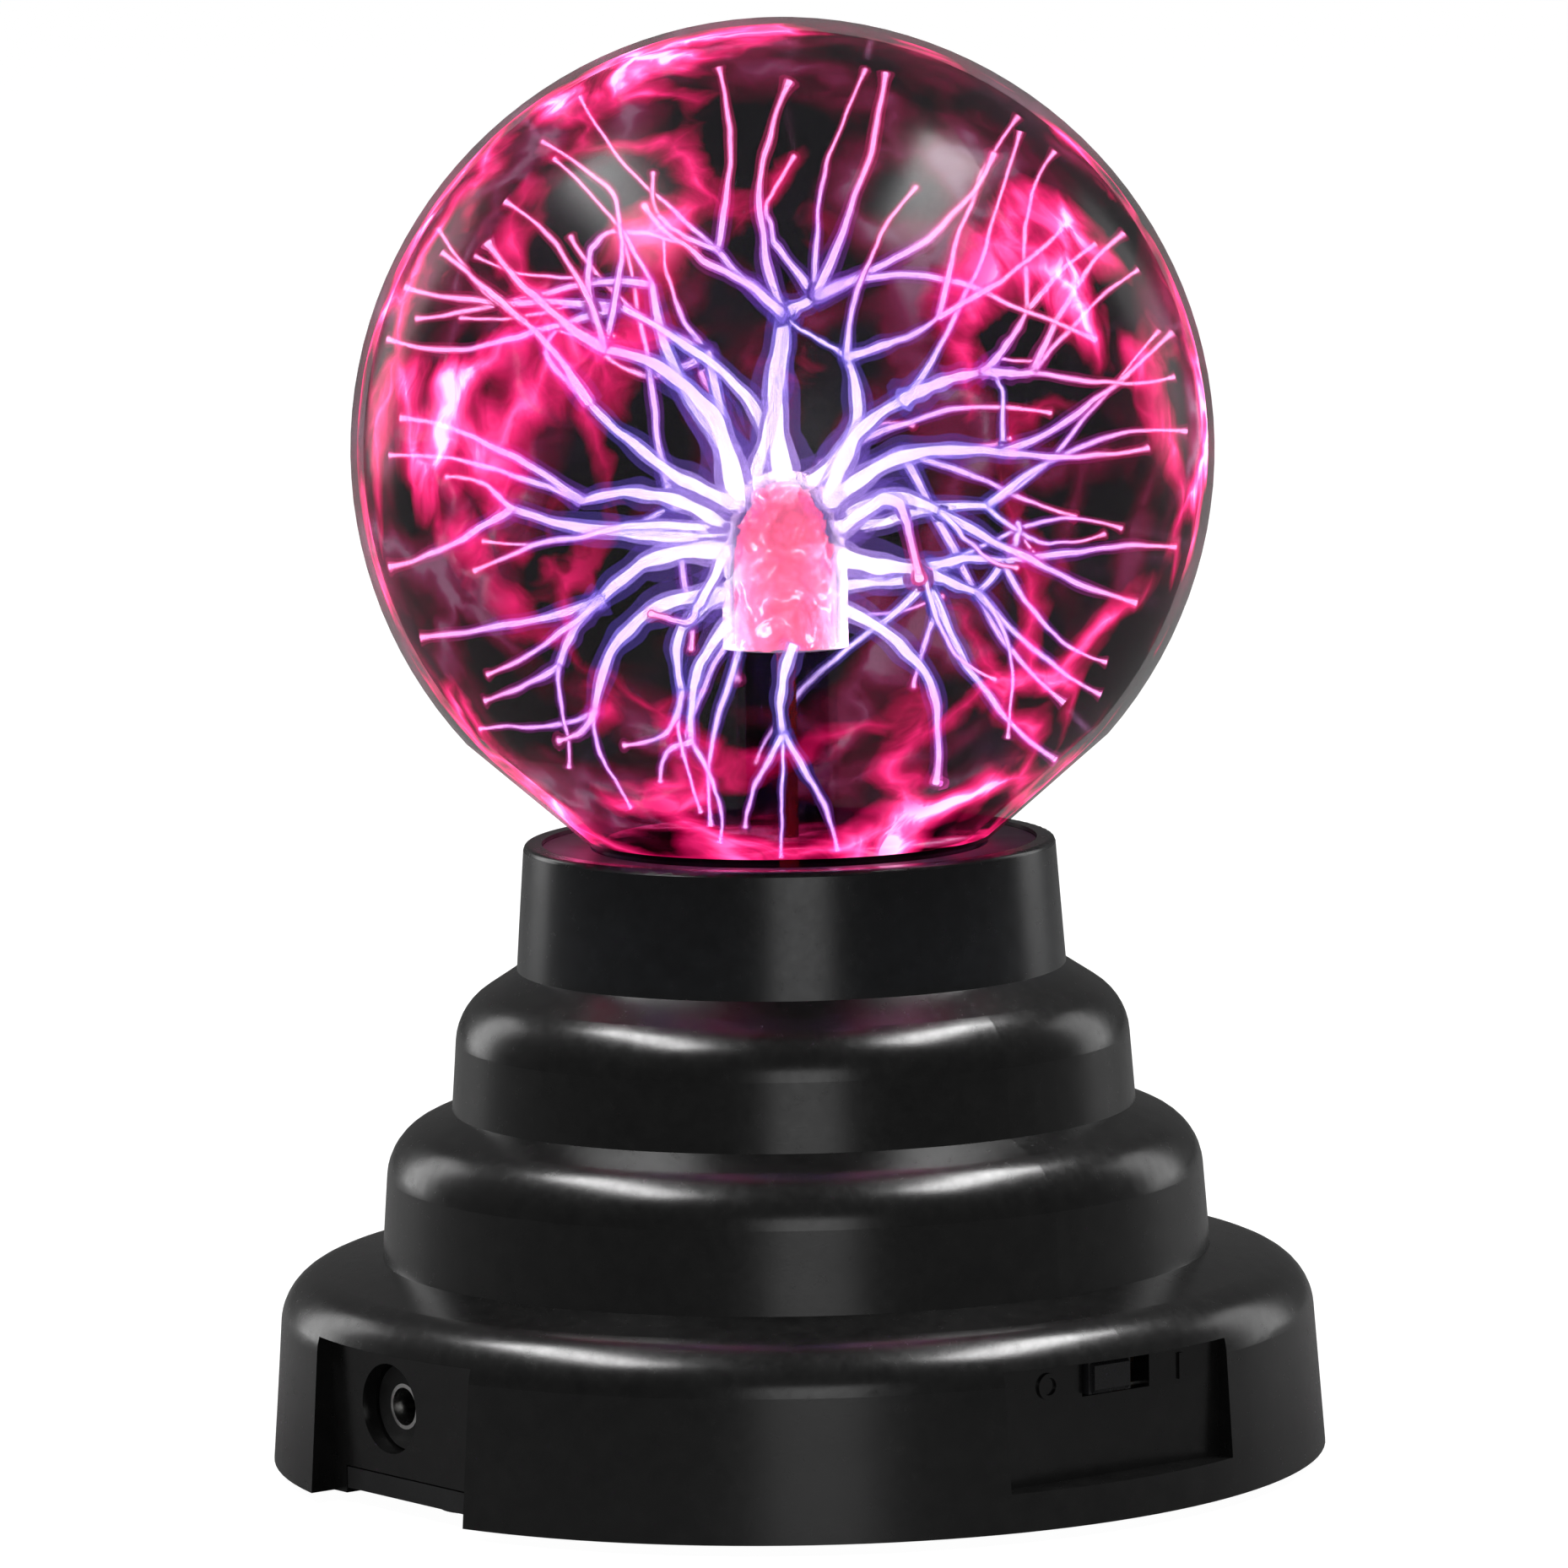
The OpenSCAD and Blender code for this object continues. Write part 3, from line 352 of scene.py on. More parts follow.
materials = {name: makeFinish(name, s) for name, s in finishes.items()}
materials["blackAbs"] = blackAbs(baseFinish)
materials["globeGlass"] = glass("globeGlass", glassSettings["globe"])
materials["tubeGlass"] = glass("tubeGlass", glassSettings["tube"])
materials["copperWire"] = copperWire(windingSettings)
materials["boardMask"] = boardMask(boardSettings)
materials["resistorLacquer"] = resistorLacquer(resistorSettings)
materials["cellJacket"] = cellJacket(cellSettings)

# the record's slot names, each with the finish above that dresses it
slotFinish = {
    "black_abs": "blackAbs", "ring_abs": "ringAbs", "cover_abs": "coverAbs", "knob_abs": "knobAbs",
    "rubber": "rubber", "globe_glass": "globeGlass", "tube_glass": "tubeGlass", "silicone": "silicone",
    "lead_red": "redLead", "lead_black": "blackLead", "board": "boardMask", "ferrite": "ferrite",
    "nylon": "nylon", "copper_wire": "copperWire", "aluminium": "aluminium", "epoxy_black": "epoxyBlack",
    "capacitor_sleeve": "capacitorSleeve", "capacitor_dip": "capacitorDip",
    "resistor_lacquer": "resistorLacquer", "plated_metal": "platedMetal", "steel": "steel",
    "phenolic": "phenolic", "contact_brass": "brass", "cell_jacket": "cellJacket",
}


def dressNodes():
    for row in frame["record"]["subparts"]:
        finish = slotFinish.get(row["material_slot"])
        if finish:
            piece = frame["nodes"][row["node"]]
            piece.data.materials.clear()
            piece.data.materials.append(materials[finish])


dressNodes()
print("nodes dressed")


def meshPiece(name, points, faces, material, attributes=None):
    mesh = bpy.data.meshes.new(name)
    mesh.from_pydata(points.reshape(-1, 3).tolist(), [], faces)
    mesh.update()
    mesh.polygons.foreach_set("use_smooth", np.ones(len(mesh.polygons), bool))
    for key, values in (attributes or {}).items():
        layer = mesh.attributes.new(key, "FLOAT", "POINT")
        layer.data.foreach_set("value", np.asarray(values, np.float32).ravel())
    mesh.materials.append(material)
    piece = bpy.data.objects.new(name, mesh)
    scene.collection.objects.link(piece)
    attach(piece, "base")
    return piece


# Quads between neighbouring rings of points: ring after ring along the first index, closed round the second.
def ringFaces(rings, sides, first=0):
    ring, side = np.meshgrid(np.arange(rings - 1), np.arange(sides), indexing="ij")
    near, after = ring * sides, (side + 1) % sides
    quads = np.stack([near + side, near + after, near + sides + after, near + sides + side], -1)
    return (quads.reshape(-1, 4) + first).tolist()


def unit(vectors):
    return vectors / np.maximum(np.linalg.norm(vectors, axis=-1, keepdims=True), 1e-12)


# A point given as shares of the globe's radius: across the front, up, and toward the viewer's side.
def inGlobe(side, rise, depth):
    return globeCentre + globeRadius * (side * across + rise * upward + depth * toward)


wallShare = 0.957          # the discharge ends on the glass's inner face, at this share of the globe's radius
wallRadius = wallShare * globeRadius


# A see-through glow: emission and alpha both follow a value; nothing in it is lit or glossy.
def glowMaterial(name, strength):
    material, tree, shader = newMaterial(name)
    shader.inputs["Base Color"].default_value = (0.0, 0.0, 0.0, 1.0)
    shader.inputs["Roughness"].default_value = 1.0
    shader.inputs["Specular IOR Level"].default_value = 0.0
    shader.inputs["Emission Strength"].default_value = strength
    material.cycles.emission_sampling = "NONE"
    return material, tree, shader


# Strand glow: colour along the strand follows its reach, 0 at the electrode and 1 at the glass.
def strandGlow(name, stops, strength, alpha):
    material, tree, shader = glowMaterial(name, strength)
    reach = node(tree, "ShaderNodeAttribute", attribute_name="reach")
    tree.links.new(ramp(tree, reach.outputs["Fac"], stops), shader.inputs["Emission Color"])
    shader.inputs["Alpha"].default_value = alpha
    return material


# Each layer is the same set of strands at its own width: white cores, violet sheaths, pink haloes.
strandLayers = {
    "plasmaCores": {"width": 1.0, "sides": 8, "strength": 19.0, "alpha": 1.0,
                    "stops": [(0.0, (1.0, 0.88, 1.0)), (0.4, (0.78, 0.62, 1.0)), (0.75, (0.72, 0.44, 0.98)),
                              (1.0, (0.95, 0.40, 0.80))]},
    "plasmaSheaths": {"width": 1.9, "sides": 8, "strength": 15.0, "alpha": 0.24,
                      "stops": [(0.0, (0.62, 0.42, 1.0)), (0.5, (0.34, 0.24, 1.0)), (0.8, (0.55, 0.14, 0.80)),
                                (1.0, (1.0, 0.12, 0.42))]},
    "plasmaHaloes": {"width": 3.6, "sides": 8, "strength": 9.0, "alpha": 0.09,
                     "stops": [(0.0, (0.40, 0.20, 0.95)), (0.5, (0.20, 0.12, 0.85)),
                               (0.8, (0.40, 0.04, 0.50)), (1.0, (1.0, 0.04, 0.24))]},
}

# Where strands split, as shares of the globe's radius: across, up and toward the front.
forks = {
    "crown": (0.01, 0.32, 0.12), "crownLeft": (-0.14, 0.48, 0.22), "crownRight": (0.08, 0.36, 0.12),
    "second": (0.15, 0.23, 0.25), "secondHigh": (0.36, 0.33, 0.40),
    "third": (0.28, 0.13, 0.25), "thirdHigh": (0.46, 0.20, 0.34), "thirdFar": (0.57, 0.20, 0.40),
    "thirdTop": (0.56, 0.34, 0.42),
    "right": (0.50, 0.01, 0.30), "rightLow": (0.36, -0.13, 0.25),
    "level": (0.32, -0.26, 0.25), "levelLow": (0.44, -0.31, 0.30), "levelHigh": (0.50, -0.24, 0.30),
    "foot": (-0.01, -0.64, 0.20),
    "leftUp": (-0.58, 0.33, 0.35), "leftMid": (-0.44, 0.14, 0.30), "leftHigh": (-0.40, 0.27, 0.40),
    "leftLevel": (-0.46, -0.08, 0.35), "leftBand": (-0.62, -0.10, 0.30),
    "leftLow": (-0.42, -0.31, 0.30), "leftLowest": (-0.52, -0.46, 0.32),
    "lowLeft": (-0.44, -0.56, 0.38), "lowMid": (-0.24, -0.52, 0.36), "lowNear": (-0.22, -0.64, 0.32),
}
# Where strands leave the electrode, in the same shares.
roots = {
    "top": (0.0, -0.12, 0.0), "topLeft": (-0.04, -0.12, 0.0), "topRight": (0.04, -0.12, 0.02),
    "shoulderRight": (0.08, -0.14, 0.04), "shoulderLeft": (-0.08, -0.14, 0.04),
    "sideRight": (0.11, -0.18, 0.04), "sideLeft": (-0.11, -0.18, 0.04),
    "waistRight": (0.12, -0.25, 0.03), "waistLeft": (-0.12, -0.23, 0.03),
    "hipRight": (0.11, -0.37, 0.03), "hipLeft": (-0.11, -0.33, 0.03), "baseLeft": (-0.10, -0.40, 0.03),
    "base": (0.01, -0.44, 0.08),
}
# Each strand: start, end, width in mm at its start, and bow, its sideways sweep as a share of its length.
# An end of two numbers is a foot on the glass's front side; a third number of -1 puts it on the far side.
strands = [
    ("top", "crown", 1.25, 0.05), ("topLeft", "crown", 0.8, -0.06), ("crown", "crownRight", 0.9, 0.0),
    ("crown", "crownLeft", 0.75, 0.04), ("crown", (-0.30, 0.61), 0.65, 0.03),
    ("crownLeft", (-0.13, 0.90), 0.5, -0.06),
    ("crownLeft", (-0.28, 0.68), 0.45, 0.12), ("crownLeft", (-0.46, 0.85), 0.35, 0.06),
    ("crown", (0.03, 0.87), 0.6, 0.10), ("crownRight", (0.04, 0.64, -1), 0.5, 0.10),
    ("crownRight", (0.25, 0.88), 0.6, -0.04), ("crownRight", (0.21, 0.86, -1), 0.35, 0.05),
    ("crownRight", (0.49, 0.70), 0.65, -0.10), ("crownRight", (0.71, 0.285), 0.55, 0.08),
    ("topRight", "second", 0.95, -0.16), ("second", (0.31, 0.64), 0.4, 0.06),
    ("second", "secondHigh", 0.6, -0.06),
    ("second", "crown", 0.3, 0.04), ("secondHigh", (0.64, 0.53), 0.55, -0.05),
    ("secondHigh", (0.555, 0.77), 0.45, 0.05),
    ("shoulderRight", "third", 1.15, 0.12), ("third", "thirdHigh", 1.0, 0.03),
    ("third", (0.555, 0.74), 0.4, -0.05),
    ("thirdHigh", "thirdTop", 0.6, -0.04), ("thirdTop", (0.72, 0.49), 0.5, 0.04),
    ("thirdTop", (0.635, 0.69), 0.4, 0.08),
    ("thirdHigh", "thirdFar", 0.8, -0.04), ("thirdFar", (0.79, 0.50), 0.55, 0.05),
    ("thirdFar", (0.82, 0.42), 0.4, 0.03),
    ("thirdFar", (0.90, 0.175), 0.4, -0.06),
    ("shoulderRight", "right", 1.05, 0.10), ("right", (0.90, 0.27), 0.55, -0.06),
    ("right", (0.83, 0.03), 0.5, -0.05),
    ("right", (0.62, 0.14, -1), 0.3, 0.1),
    ("sideRight", "rightLow", 1.1, 0.16), ("rightLow", (0.80, -0.33), 0.6, -0.04),
    ("sideRight", (0.30, -0.22), 0.9, 0.12),
    ("rightLow", (0.52, -0.21), 0.35, -0.05),
    ("waistRight", "level", 1.3, -0.02), ("level", "levelHigh", 0.7, 0.08),
    ("levelHigh", (0.90, -0.22), 0.5, 0.02),
    ("level", "levelLow", 0.8, -0.03), ("levelLow", (0.72, -0.55), 0.5, -0.06),
    ("levelHigh", (0.73, -0.465), 0.4, -0.12),
    ("levelLow", (0.60, -0.32, -1), 0.4, 0.1), ("level", (0.47, -0.47), 0.35, -0.1),
    ("levelLow", (0.50, -0.62), 0.3, 0.1),
    ("hipRight", (0.335, -0.72), 0.75, 0.14), ("base", "foot", 0.65, -0.08),
    ("foot", (0.11, -0.90), 0.45, 0.05),
    ("foot", (-0.10, -0.82), 0.4, -0.04), ("foot", (-0.02, -0.92), 0.25, 0.0),
    ("baseLeft", "lowNear", 0.7, -0.08), ("lowNear", (-0.29, -0.70), 0.45, -0.1),
    ("lowNear", (-0.16, -0.87), 0.35, 0.1),
    ("hipLeft", "lowMid", 0.75, -0.14), ("lowMid", (-0.37, -0.61), 0.45, 0.14),
    ("lowMid", (-0.20, -0.78), 0.3, -0.06),
    ("hipLeft", "lowLeft", 1.0, -0.18), ("lowLeft", (-0.52, -0.61), 0.55, 0.1),
    ("lowLeft", (-0.71, -0.62), 0.35, 0.05),
    ("lowLeft", (-0.36, -0.78), 0.3, -0.08),
    ("waistLeft", "leftLow", 1.2, -0.10), ("leftLow", "leftLowest", 0.8, -0.08),
    ("leftLow", (-0.84, -0.40), 0.6, 0.04),
    ("leftLow", (-0.68, -0.46), 0.5, 0.05), ("leftLowest", (-0.69, -0.53), 0.5, 0.04),
    ("leftLowest", (-0.50, -0.68), 0.3, 0.0),
    ("waistLeft", (-0.30, -0.29), 0.6, 0.10), ("sideLeft", (-0.70, -0.21), 0.5, -0.04),
    ("sideLeft", "leftBand", 1.0, 0.06), ("leftBand", (-0.91, -0.24), 0.6, 0.05),
    ("leftBand", (-0.76, 0.0), 0.45, -0.06),
    ("sideLeft", "leftLevel", 0.95, -0.10), ("leftLevel", (-0.87, 0.12), 0.6, -0.06),
    ("leftLevel", (-0.90, 0.03), 0.45, -0.05),
    ("shoulderLeft", "leftMid", 0.9, 0.05), ("leftMid", "leftUp", 0.75, -0.04),
    ("leftUp", (-0.77, 0.49), 0.55, 0.0),
    ("leftUp", (-0.79, 0.54), 0.4, 0.06), ("leftMid", (-0.40, 0.21, -1), 0.4, 0.1),
    ("shoulderLeft", "leftHigh", 1.3, -0.16), ("leftHigh", (-0.66, 0.52), 0.85, 0.06),
    ("leftHigh", (-0.62, 0.61), 0.5, -0.1),
    ("leftHigh", (-0.55, 0.705, -1), 0.45, -0.14), ("leftHigh", (-0.20, 0.42, -1), 0.5, 0.12),
]
# thinnest in mm; forkShare of the globe's radius; the flare widens a strand's last part, on the glass
strandDetail = {"points": 36, "wiggle": 0.0055, "seed": 11, "backTrunks": 9, "backSeed": 5, "thinnest": 0.20,
                "forkShare": 0.52, "flareStart": 0.93, "flare": 0.8}
reachLength = 30 * mm      # a strand's colours have run their course at this distance from the electrode


# A point moved straight out onto the electrode's bullet: away from the dome's centre, or lower down away
# from the axis.
def onElectrode(point):
    away = point - headCentre
    if away[2] < 0:
        away[2] = 0.0
        return np.array([0.0, 0.0, point[2]]) + unit(away) * headRadius
    return headCentre + unit(away) * headRadius


# Place of a strand's end: a named fork or root, or a foot pushed out onto the glass on its side of the globe.
def strandEnd(end):
    if end in roots:
        return onElectrode(inGlobe(*roots[end]))
    if end in forks:
        return inGlobe(*forks[end])
    side, rise = end[0], end[1]
    sign = end[2] if len(end) > 2 else 1.0
    flat = math.hypot(side, rise)
    if flat > 0.99 * wallShare:
        side, rise = side * 0.99 * wallShare / flat, rise * 0.99 * wallShare / flat
    return inGlobe(side, rise, sign * math.sqrt(wallShare ** 2 - side ** 2 - rise ** 2))


# Trunks towards the back: each runs from the electrode to a fork halfway out, then to three or four feet.
def backStrands(s):
    rng = np.random.default_rng(s["backSeed"])
    made = []
    for turn in np.linspace(-70, 70, s["backTrunks"]):
        angle = math.radians(turn + rng.uniform(-6, 6))
        tilt = math.radians(rng.uniform(-42, 58))
        level = math.cos(tilt)
        heading = np.array([math.sin(angle) * level, math.sin(tilt), -math.cos(angle) * level])
        start = headCentre - upward * headRadius * rng.uniform(0.0, 1.6) * (tilt < 0.5)
        fork = inGlobe(*heading * s["forkShare"])
        made.append((start, fork, rng.uniform(0.7, 1.1), rng.uniform(-0.14, 0.14)))
        for _ in range(rng.integers(3, 5)):
            aim = unit(heading + rng.normal(0, 0.30, 3))
            made.append((fork, inGlobe(*aim * wallShare), rng.uniform(0.3, 0.6), rng.uniform(-0.12, 0.12)))
    return made


# Every strand's centre line at once. Each is a cubic Bezier: it sets out away from the electrode, sweeps
# sideways by its bow, and meets the glass square on. Slow sine waves across it, fading to nothing at both
# ends, unsteady it.
def strandPaths(s):
    ends = [(strandEnd(a), strandEnd(b), w, bow) for a, b, w, bow in strands] + backStrands(s)
    start = np.array([e[0] for e in ends])
    stop = np.array([e[1] for e in ends])
    width = np.array([e[2] for e in ends])
    bow = np.array([e[3] for e in ends])
    length = np.linalg.norm(stop - start, axis=1)
    run = unit(stop - start)
    sideways = unit(np.cross(toward, run))
    outStart = unit(start - headCentre + 1e-6)
    outStop = unit(stop - globeCentre)
    onGlass = np.linalg.norm(stop - globeCentre, axis=1) > 0.98 * wallRadius
    leaving = unit(run + 0.35 * outStart)
    arriving = unit(run + np.where(onGlass, 0.5, 0.1)[:, None] * outStop)
    lift = (bow * length)[:, None] * sideways * 1.33
    one = start + leaving * (length * 0.33)[:, None] + lift
    two = stop - arriving * (length * 0.33)[:, None] + lift
    t = np.linspace(0, 1, s["points"])[None, :, None]
    path = ((1 - t) ** 3 * start[:, None] + 3 * t * (1 - t) ** 2 * one[:, None]
            + 3 * t ** 2 * (1 - t) * two[:, None] + t ** 3 * stop[:, None])
    rng = np.random.default_rng(s["seed"])
    other = unit(np.cross(run, sideways))
    for turns, weight in ((2.0, 1.0), (4.3, 0.45), (9.1, 0.16)):
        for direction in (sideways, other):
            phase = rng.uniform(0, 2 * math.pi, (len(ends), 1, 1))
            sway = np.sin(2 * math.pi * turns * t * rng.uniform(0.7, 1.2, (len(ends), 1, 1)) + phase)
            height = (weight * s["wiggle"] * length)[:, None, None]
            path += sway * np.sin(math.pi * t) * height * direction[:, None]
    beyond = np.linalg.norm(path - globeCentre, axis=2)[..., None]      # nothing passes the glass
    path = globeCentre + (path - globeCentre) * np.minimum(1.0, wallRadius / np.maximum(beyond, 1e-9))
    return path, width, onGlass


# How far each point has come from the electrode: 0 at its surface, 1 at the reach length and beyond.
def reachOf(path):
    return np.clip((np.linalg.norm(path - headCentre, axis=-1) - headRadius) / reachLength, 0, 1)


# Tubes along all the paths: rings of points square to each path, at the radii given, capped at both ends.
def tubes(name, path, radius, sides, material):
    count, points = path.shape[:2]
    along = unit(np.gradient(path, axis=1))
    least = np.abs(along.mean(1)).argmin(1)
    guide = np.eye(3)[least][:, None]
    first = unit(np.cross(along, guide))
    second = np.cross(along, first)
    turn = np.linspace(0, 2 * math.pi, sides, endpoint=False)
    ring = (np.cos(turn)[:, None] * first[:, :, None] + np.sin(turn)[:, None] * second[:, :, None])
    grid = path[:, :, None] + radius[:, :, None, None] * ring
    faces = []
    for k in range(count):
        base = k * points * sides
        faces += ringFaces(points, sides, base)
        faces.append(list(range(base + sides - 1, base - 1, -1)))
        faces.append(list(range(base + (points - 1) * sides, base + points * sides)))
    reach = np.repeat(reachOf(path)[:, :, None], sides, 2)
    return meshPiece(name, grid, faces, material, attributes={"reach": reach})


# Widths: full at the start, thinner toward the glass, flaring again where a strand meets it.
def strandRadii(path, width, onGlass, s):
    t = np.linspace(0, 1, s["points"])[None]
    rng = np.random.default_rng(s["seed"] + 1)
    waves = t * rng.uniform(1.5, 4, (len(width), 1)) + rng.uniform(0, 1, (len(width), 1))
    uneven = 1 + 0.12 * np.sin(2 * math.pi * waves)
    thin = width[:, None] * (1.25 - 0.6 * t) * uneven * (1.1 - 0.35 * reachOf(path))
    end = np.clip((t - s["flareStart"]) / (1 - s["flareStart"]), 0, 1)
    flare = 1 + s["flare"] * onGlass[:, None] * end ** 2
    return np.maximum(thin, s["thinnest"]) * flare * mm / 2


strandPath, strandWidth, strandOnGlass = strandPaths(strandDetail)
radii = strandRadii(strandPath, strandWidth, strandOnGlass, strandDetail)
for layerName, layer in strandLayers.items():
    glow = strandGlow(layerName, layer["stops"], layer["strength"], layer["alpha"])
    tubes(layerName, strandPath, radii * layer["width"], layer["sides"], glow)
print("strands made:", len(strandPath))


starSettings = {"rings": 7, "sides": 40, "smallest": 2.2, "largest": 6.5, "offGlass": 0.15, "seed": 23,
                "strength": 22.0}
# The brightest feet, as shares of the globe's radius, each with how much bigger its star is.
hotFeet = {(-0.66, 0.52): 2.2, (-0.62, 0.61): 1.5, (0.335, -0.72): 2.0, (0.64, 0.53): 1.8, (-0.87, 0.12): 1.8,
           (0.72, 0.49): 1.5, (-0.55, 0.705): 1.5, (0.49, 0.70): 1.4, (-0.29, -0.70): 1.5, (0.90, 0.175): 1.5,
           (0.72, -0.55): 1.4, (-0.84, -0.40): 1.4}


def starGlow(s):
    material, tree, shader = glowMaterial("plasmaStars", s["strength"])
    heat = node(tree, "ShaderNodeAttribute", attribute_name="heat")
    patches = maths(tree, "ADD", 0.55, noise(tree, objectPlace(tree), 420, 3.0, 0.6, 1.5))
    ragged = maths(tree, "MULTIPLY", heat.outputs["Fac"], patches, clamp=True)
    colours = [(0.0, (0.75, 0.0, 0.10)), (0.35, (1.0, 0.02, 0.20)), (0.7, (1.0, 0.16, 0.48)),
               (1.0, (1.0, 0.72, 0.92))]
    tree.links.new(ramp(tree, ragged, colours), shader.inputs["Emission Color"])
    alphas = [(0.0, grey(0.0)), (0.25, grey(0.30)), (1.0, grey(0.92))]
    tree.links.new(ramp(tree, ragged, alphas), shader.inputs["Alpha"])
    return material


# Each star is a polar grid laid on the glass's inner face. Its rim distance swells into a few arms:
# a plain round, plus for each arm a narrow bell round that arm's angle.
def stars(feet, s):
    rng = np.random.default_rng(s["seed"])
    turn = np.linspace(0, 2 * math.pi, s["sides"], endpoint=False)
    share = np.linspace(0, 1, s["rings"] + 1)[1:]
    starRadius = wallRadius - s["offGlass"] * mm
    points, faces, heat = [], [], []
    hot = np.array([strandEnd(foot) for foot in hotFeet])
    sizes = np.array(list(hotFeet.values()))
    for foot in feet:
        away = np.linalg.norm(hot - foot, axis=1)
        size = sizes[away.argmin()] if away.min() < 2 * mm else 1.0
        out = unit(foot - globeCentre)
        first = unit(np.cross(out, [0.3, 0.2, 1.0]))
        second = np.cross(out, first)
        reach = np.full(s["sides"], 0.9)
        for angle in rng.uniform(0, 2 * math.pi) + np.arange(rng.integers(3, 6)) * rng.uniform(1.0, 1.9):
            bell = np.cos(turn - angle)
            reach += rng.uniform(s["smallest"], s["largest"]) * np.exp((bell - 1) * rng.uniform(9, 26))
        rim = np.cos(turn)[:, None] * first + np.sin(turn)[:, None] * second
        flat = (size * share[:, None] * reach)[..., None] * mm * rim
        grid = globeCentre + unit(foot - globeCentre + flat) * starRadius
        base = len(faces) and base + s["rings"] * s["sides"] + 1
        points += [grid.reshape(-1, 3), (globeCentre + out * starRadius)[None]]
        heat += [np.repeat((1 - share) ** 0.9, s["sides"]), np.ones(1)]
        faces += ringFaces(s["rings"], s["sides"], base)
        centre = base + s["rings"] * s["sides"]
        faces += [[centre, base + (k + 1) % s["sides"], base + k] for k in range(s["sides"])]
    return meshPiece("plasmaStars", np.concatenate(points), faces, starGlow(s),
                     attributes={"heat": np.concatenate(heat)})


stars(strandPath[strandOnGlass][:, -1], starSettings)
print("stars made")


wispSettings = {"rings": 84, "sides": 128, "cell": 62.0, "warp": 0.013, "warpScale": 50.0, "strength": 14.0,
                "share": 0.985, "flank": 41.0, "neck": 0.0185,
                "clearing": (0.0, -0.14, 0.99), "clearEnds": (0.60, 0.975)}


# The globe's own outline as a closed surface: rings of latitude with a single point at each pole. Below the
# angle where the flank leaves the sphere, each direction runs out to the flank's straight line, or to the
# neck's level if that is nearer: the line's distance from the centre over the cosine of the angle to the
# line's own normal.
def globeSkin(name, s, material):
    radius = s["share"] * globeRadius
    flank = math.radians(s["flank"])
    rings, sides = s["rings"], s["sides"]
    tilt = np.linspace(0, math.pi, rings + 2)
    floor = (radius - s["neck"] * math.sin(flank)) / math.cos(flank)
    toLine = radius / np.maximum(np.cos(tilt - (math.pi - flank)), 0.2)
    toFloor = floor / np.maximum(-np.cos(tilt), 0.2)
    far = np.where(tilt > math.pi - flank, np.minimum(toLine, toFloor), radius)
    turn = np.linspace(0, 2 * math.pi, sides, endpoint=False)
    flat, height = (far * np.sin(tilt))[1:-1, None], (far * np.cos(tilt))[1:-1, None]
    grid = np.stack([flat * np.cos(turn), flat * np.sin(turn), height * np.ones(sides)], -1)
    points = np.concatenate([grid.reshape(-1, 3), [[0, 0, far[0]], [0, 0, -far[-1]]]]) + globeCentre
    quads = [face[::-1] for face in ringFaces(rings, sides)]
    top, bottom, last = rings * sides, rings * sides + 1, (rings - 1) * sides
    caps = [[top, k, (k + 1) % sides] for k in range(sides)]
    caps += [[bottom, last + (k + 1) % sides, last + k] for k in range(sides)]
    return meshPiece(name, points, quads + caps, material)


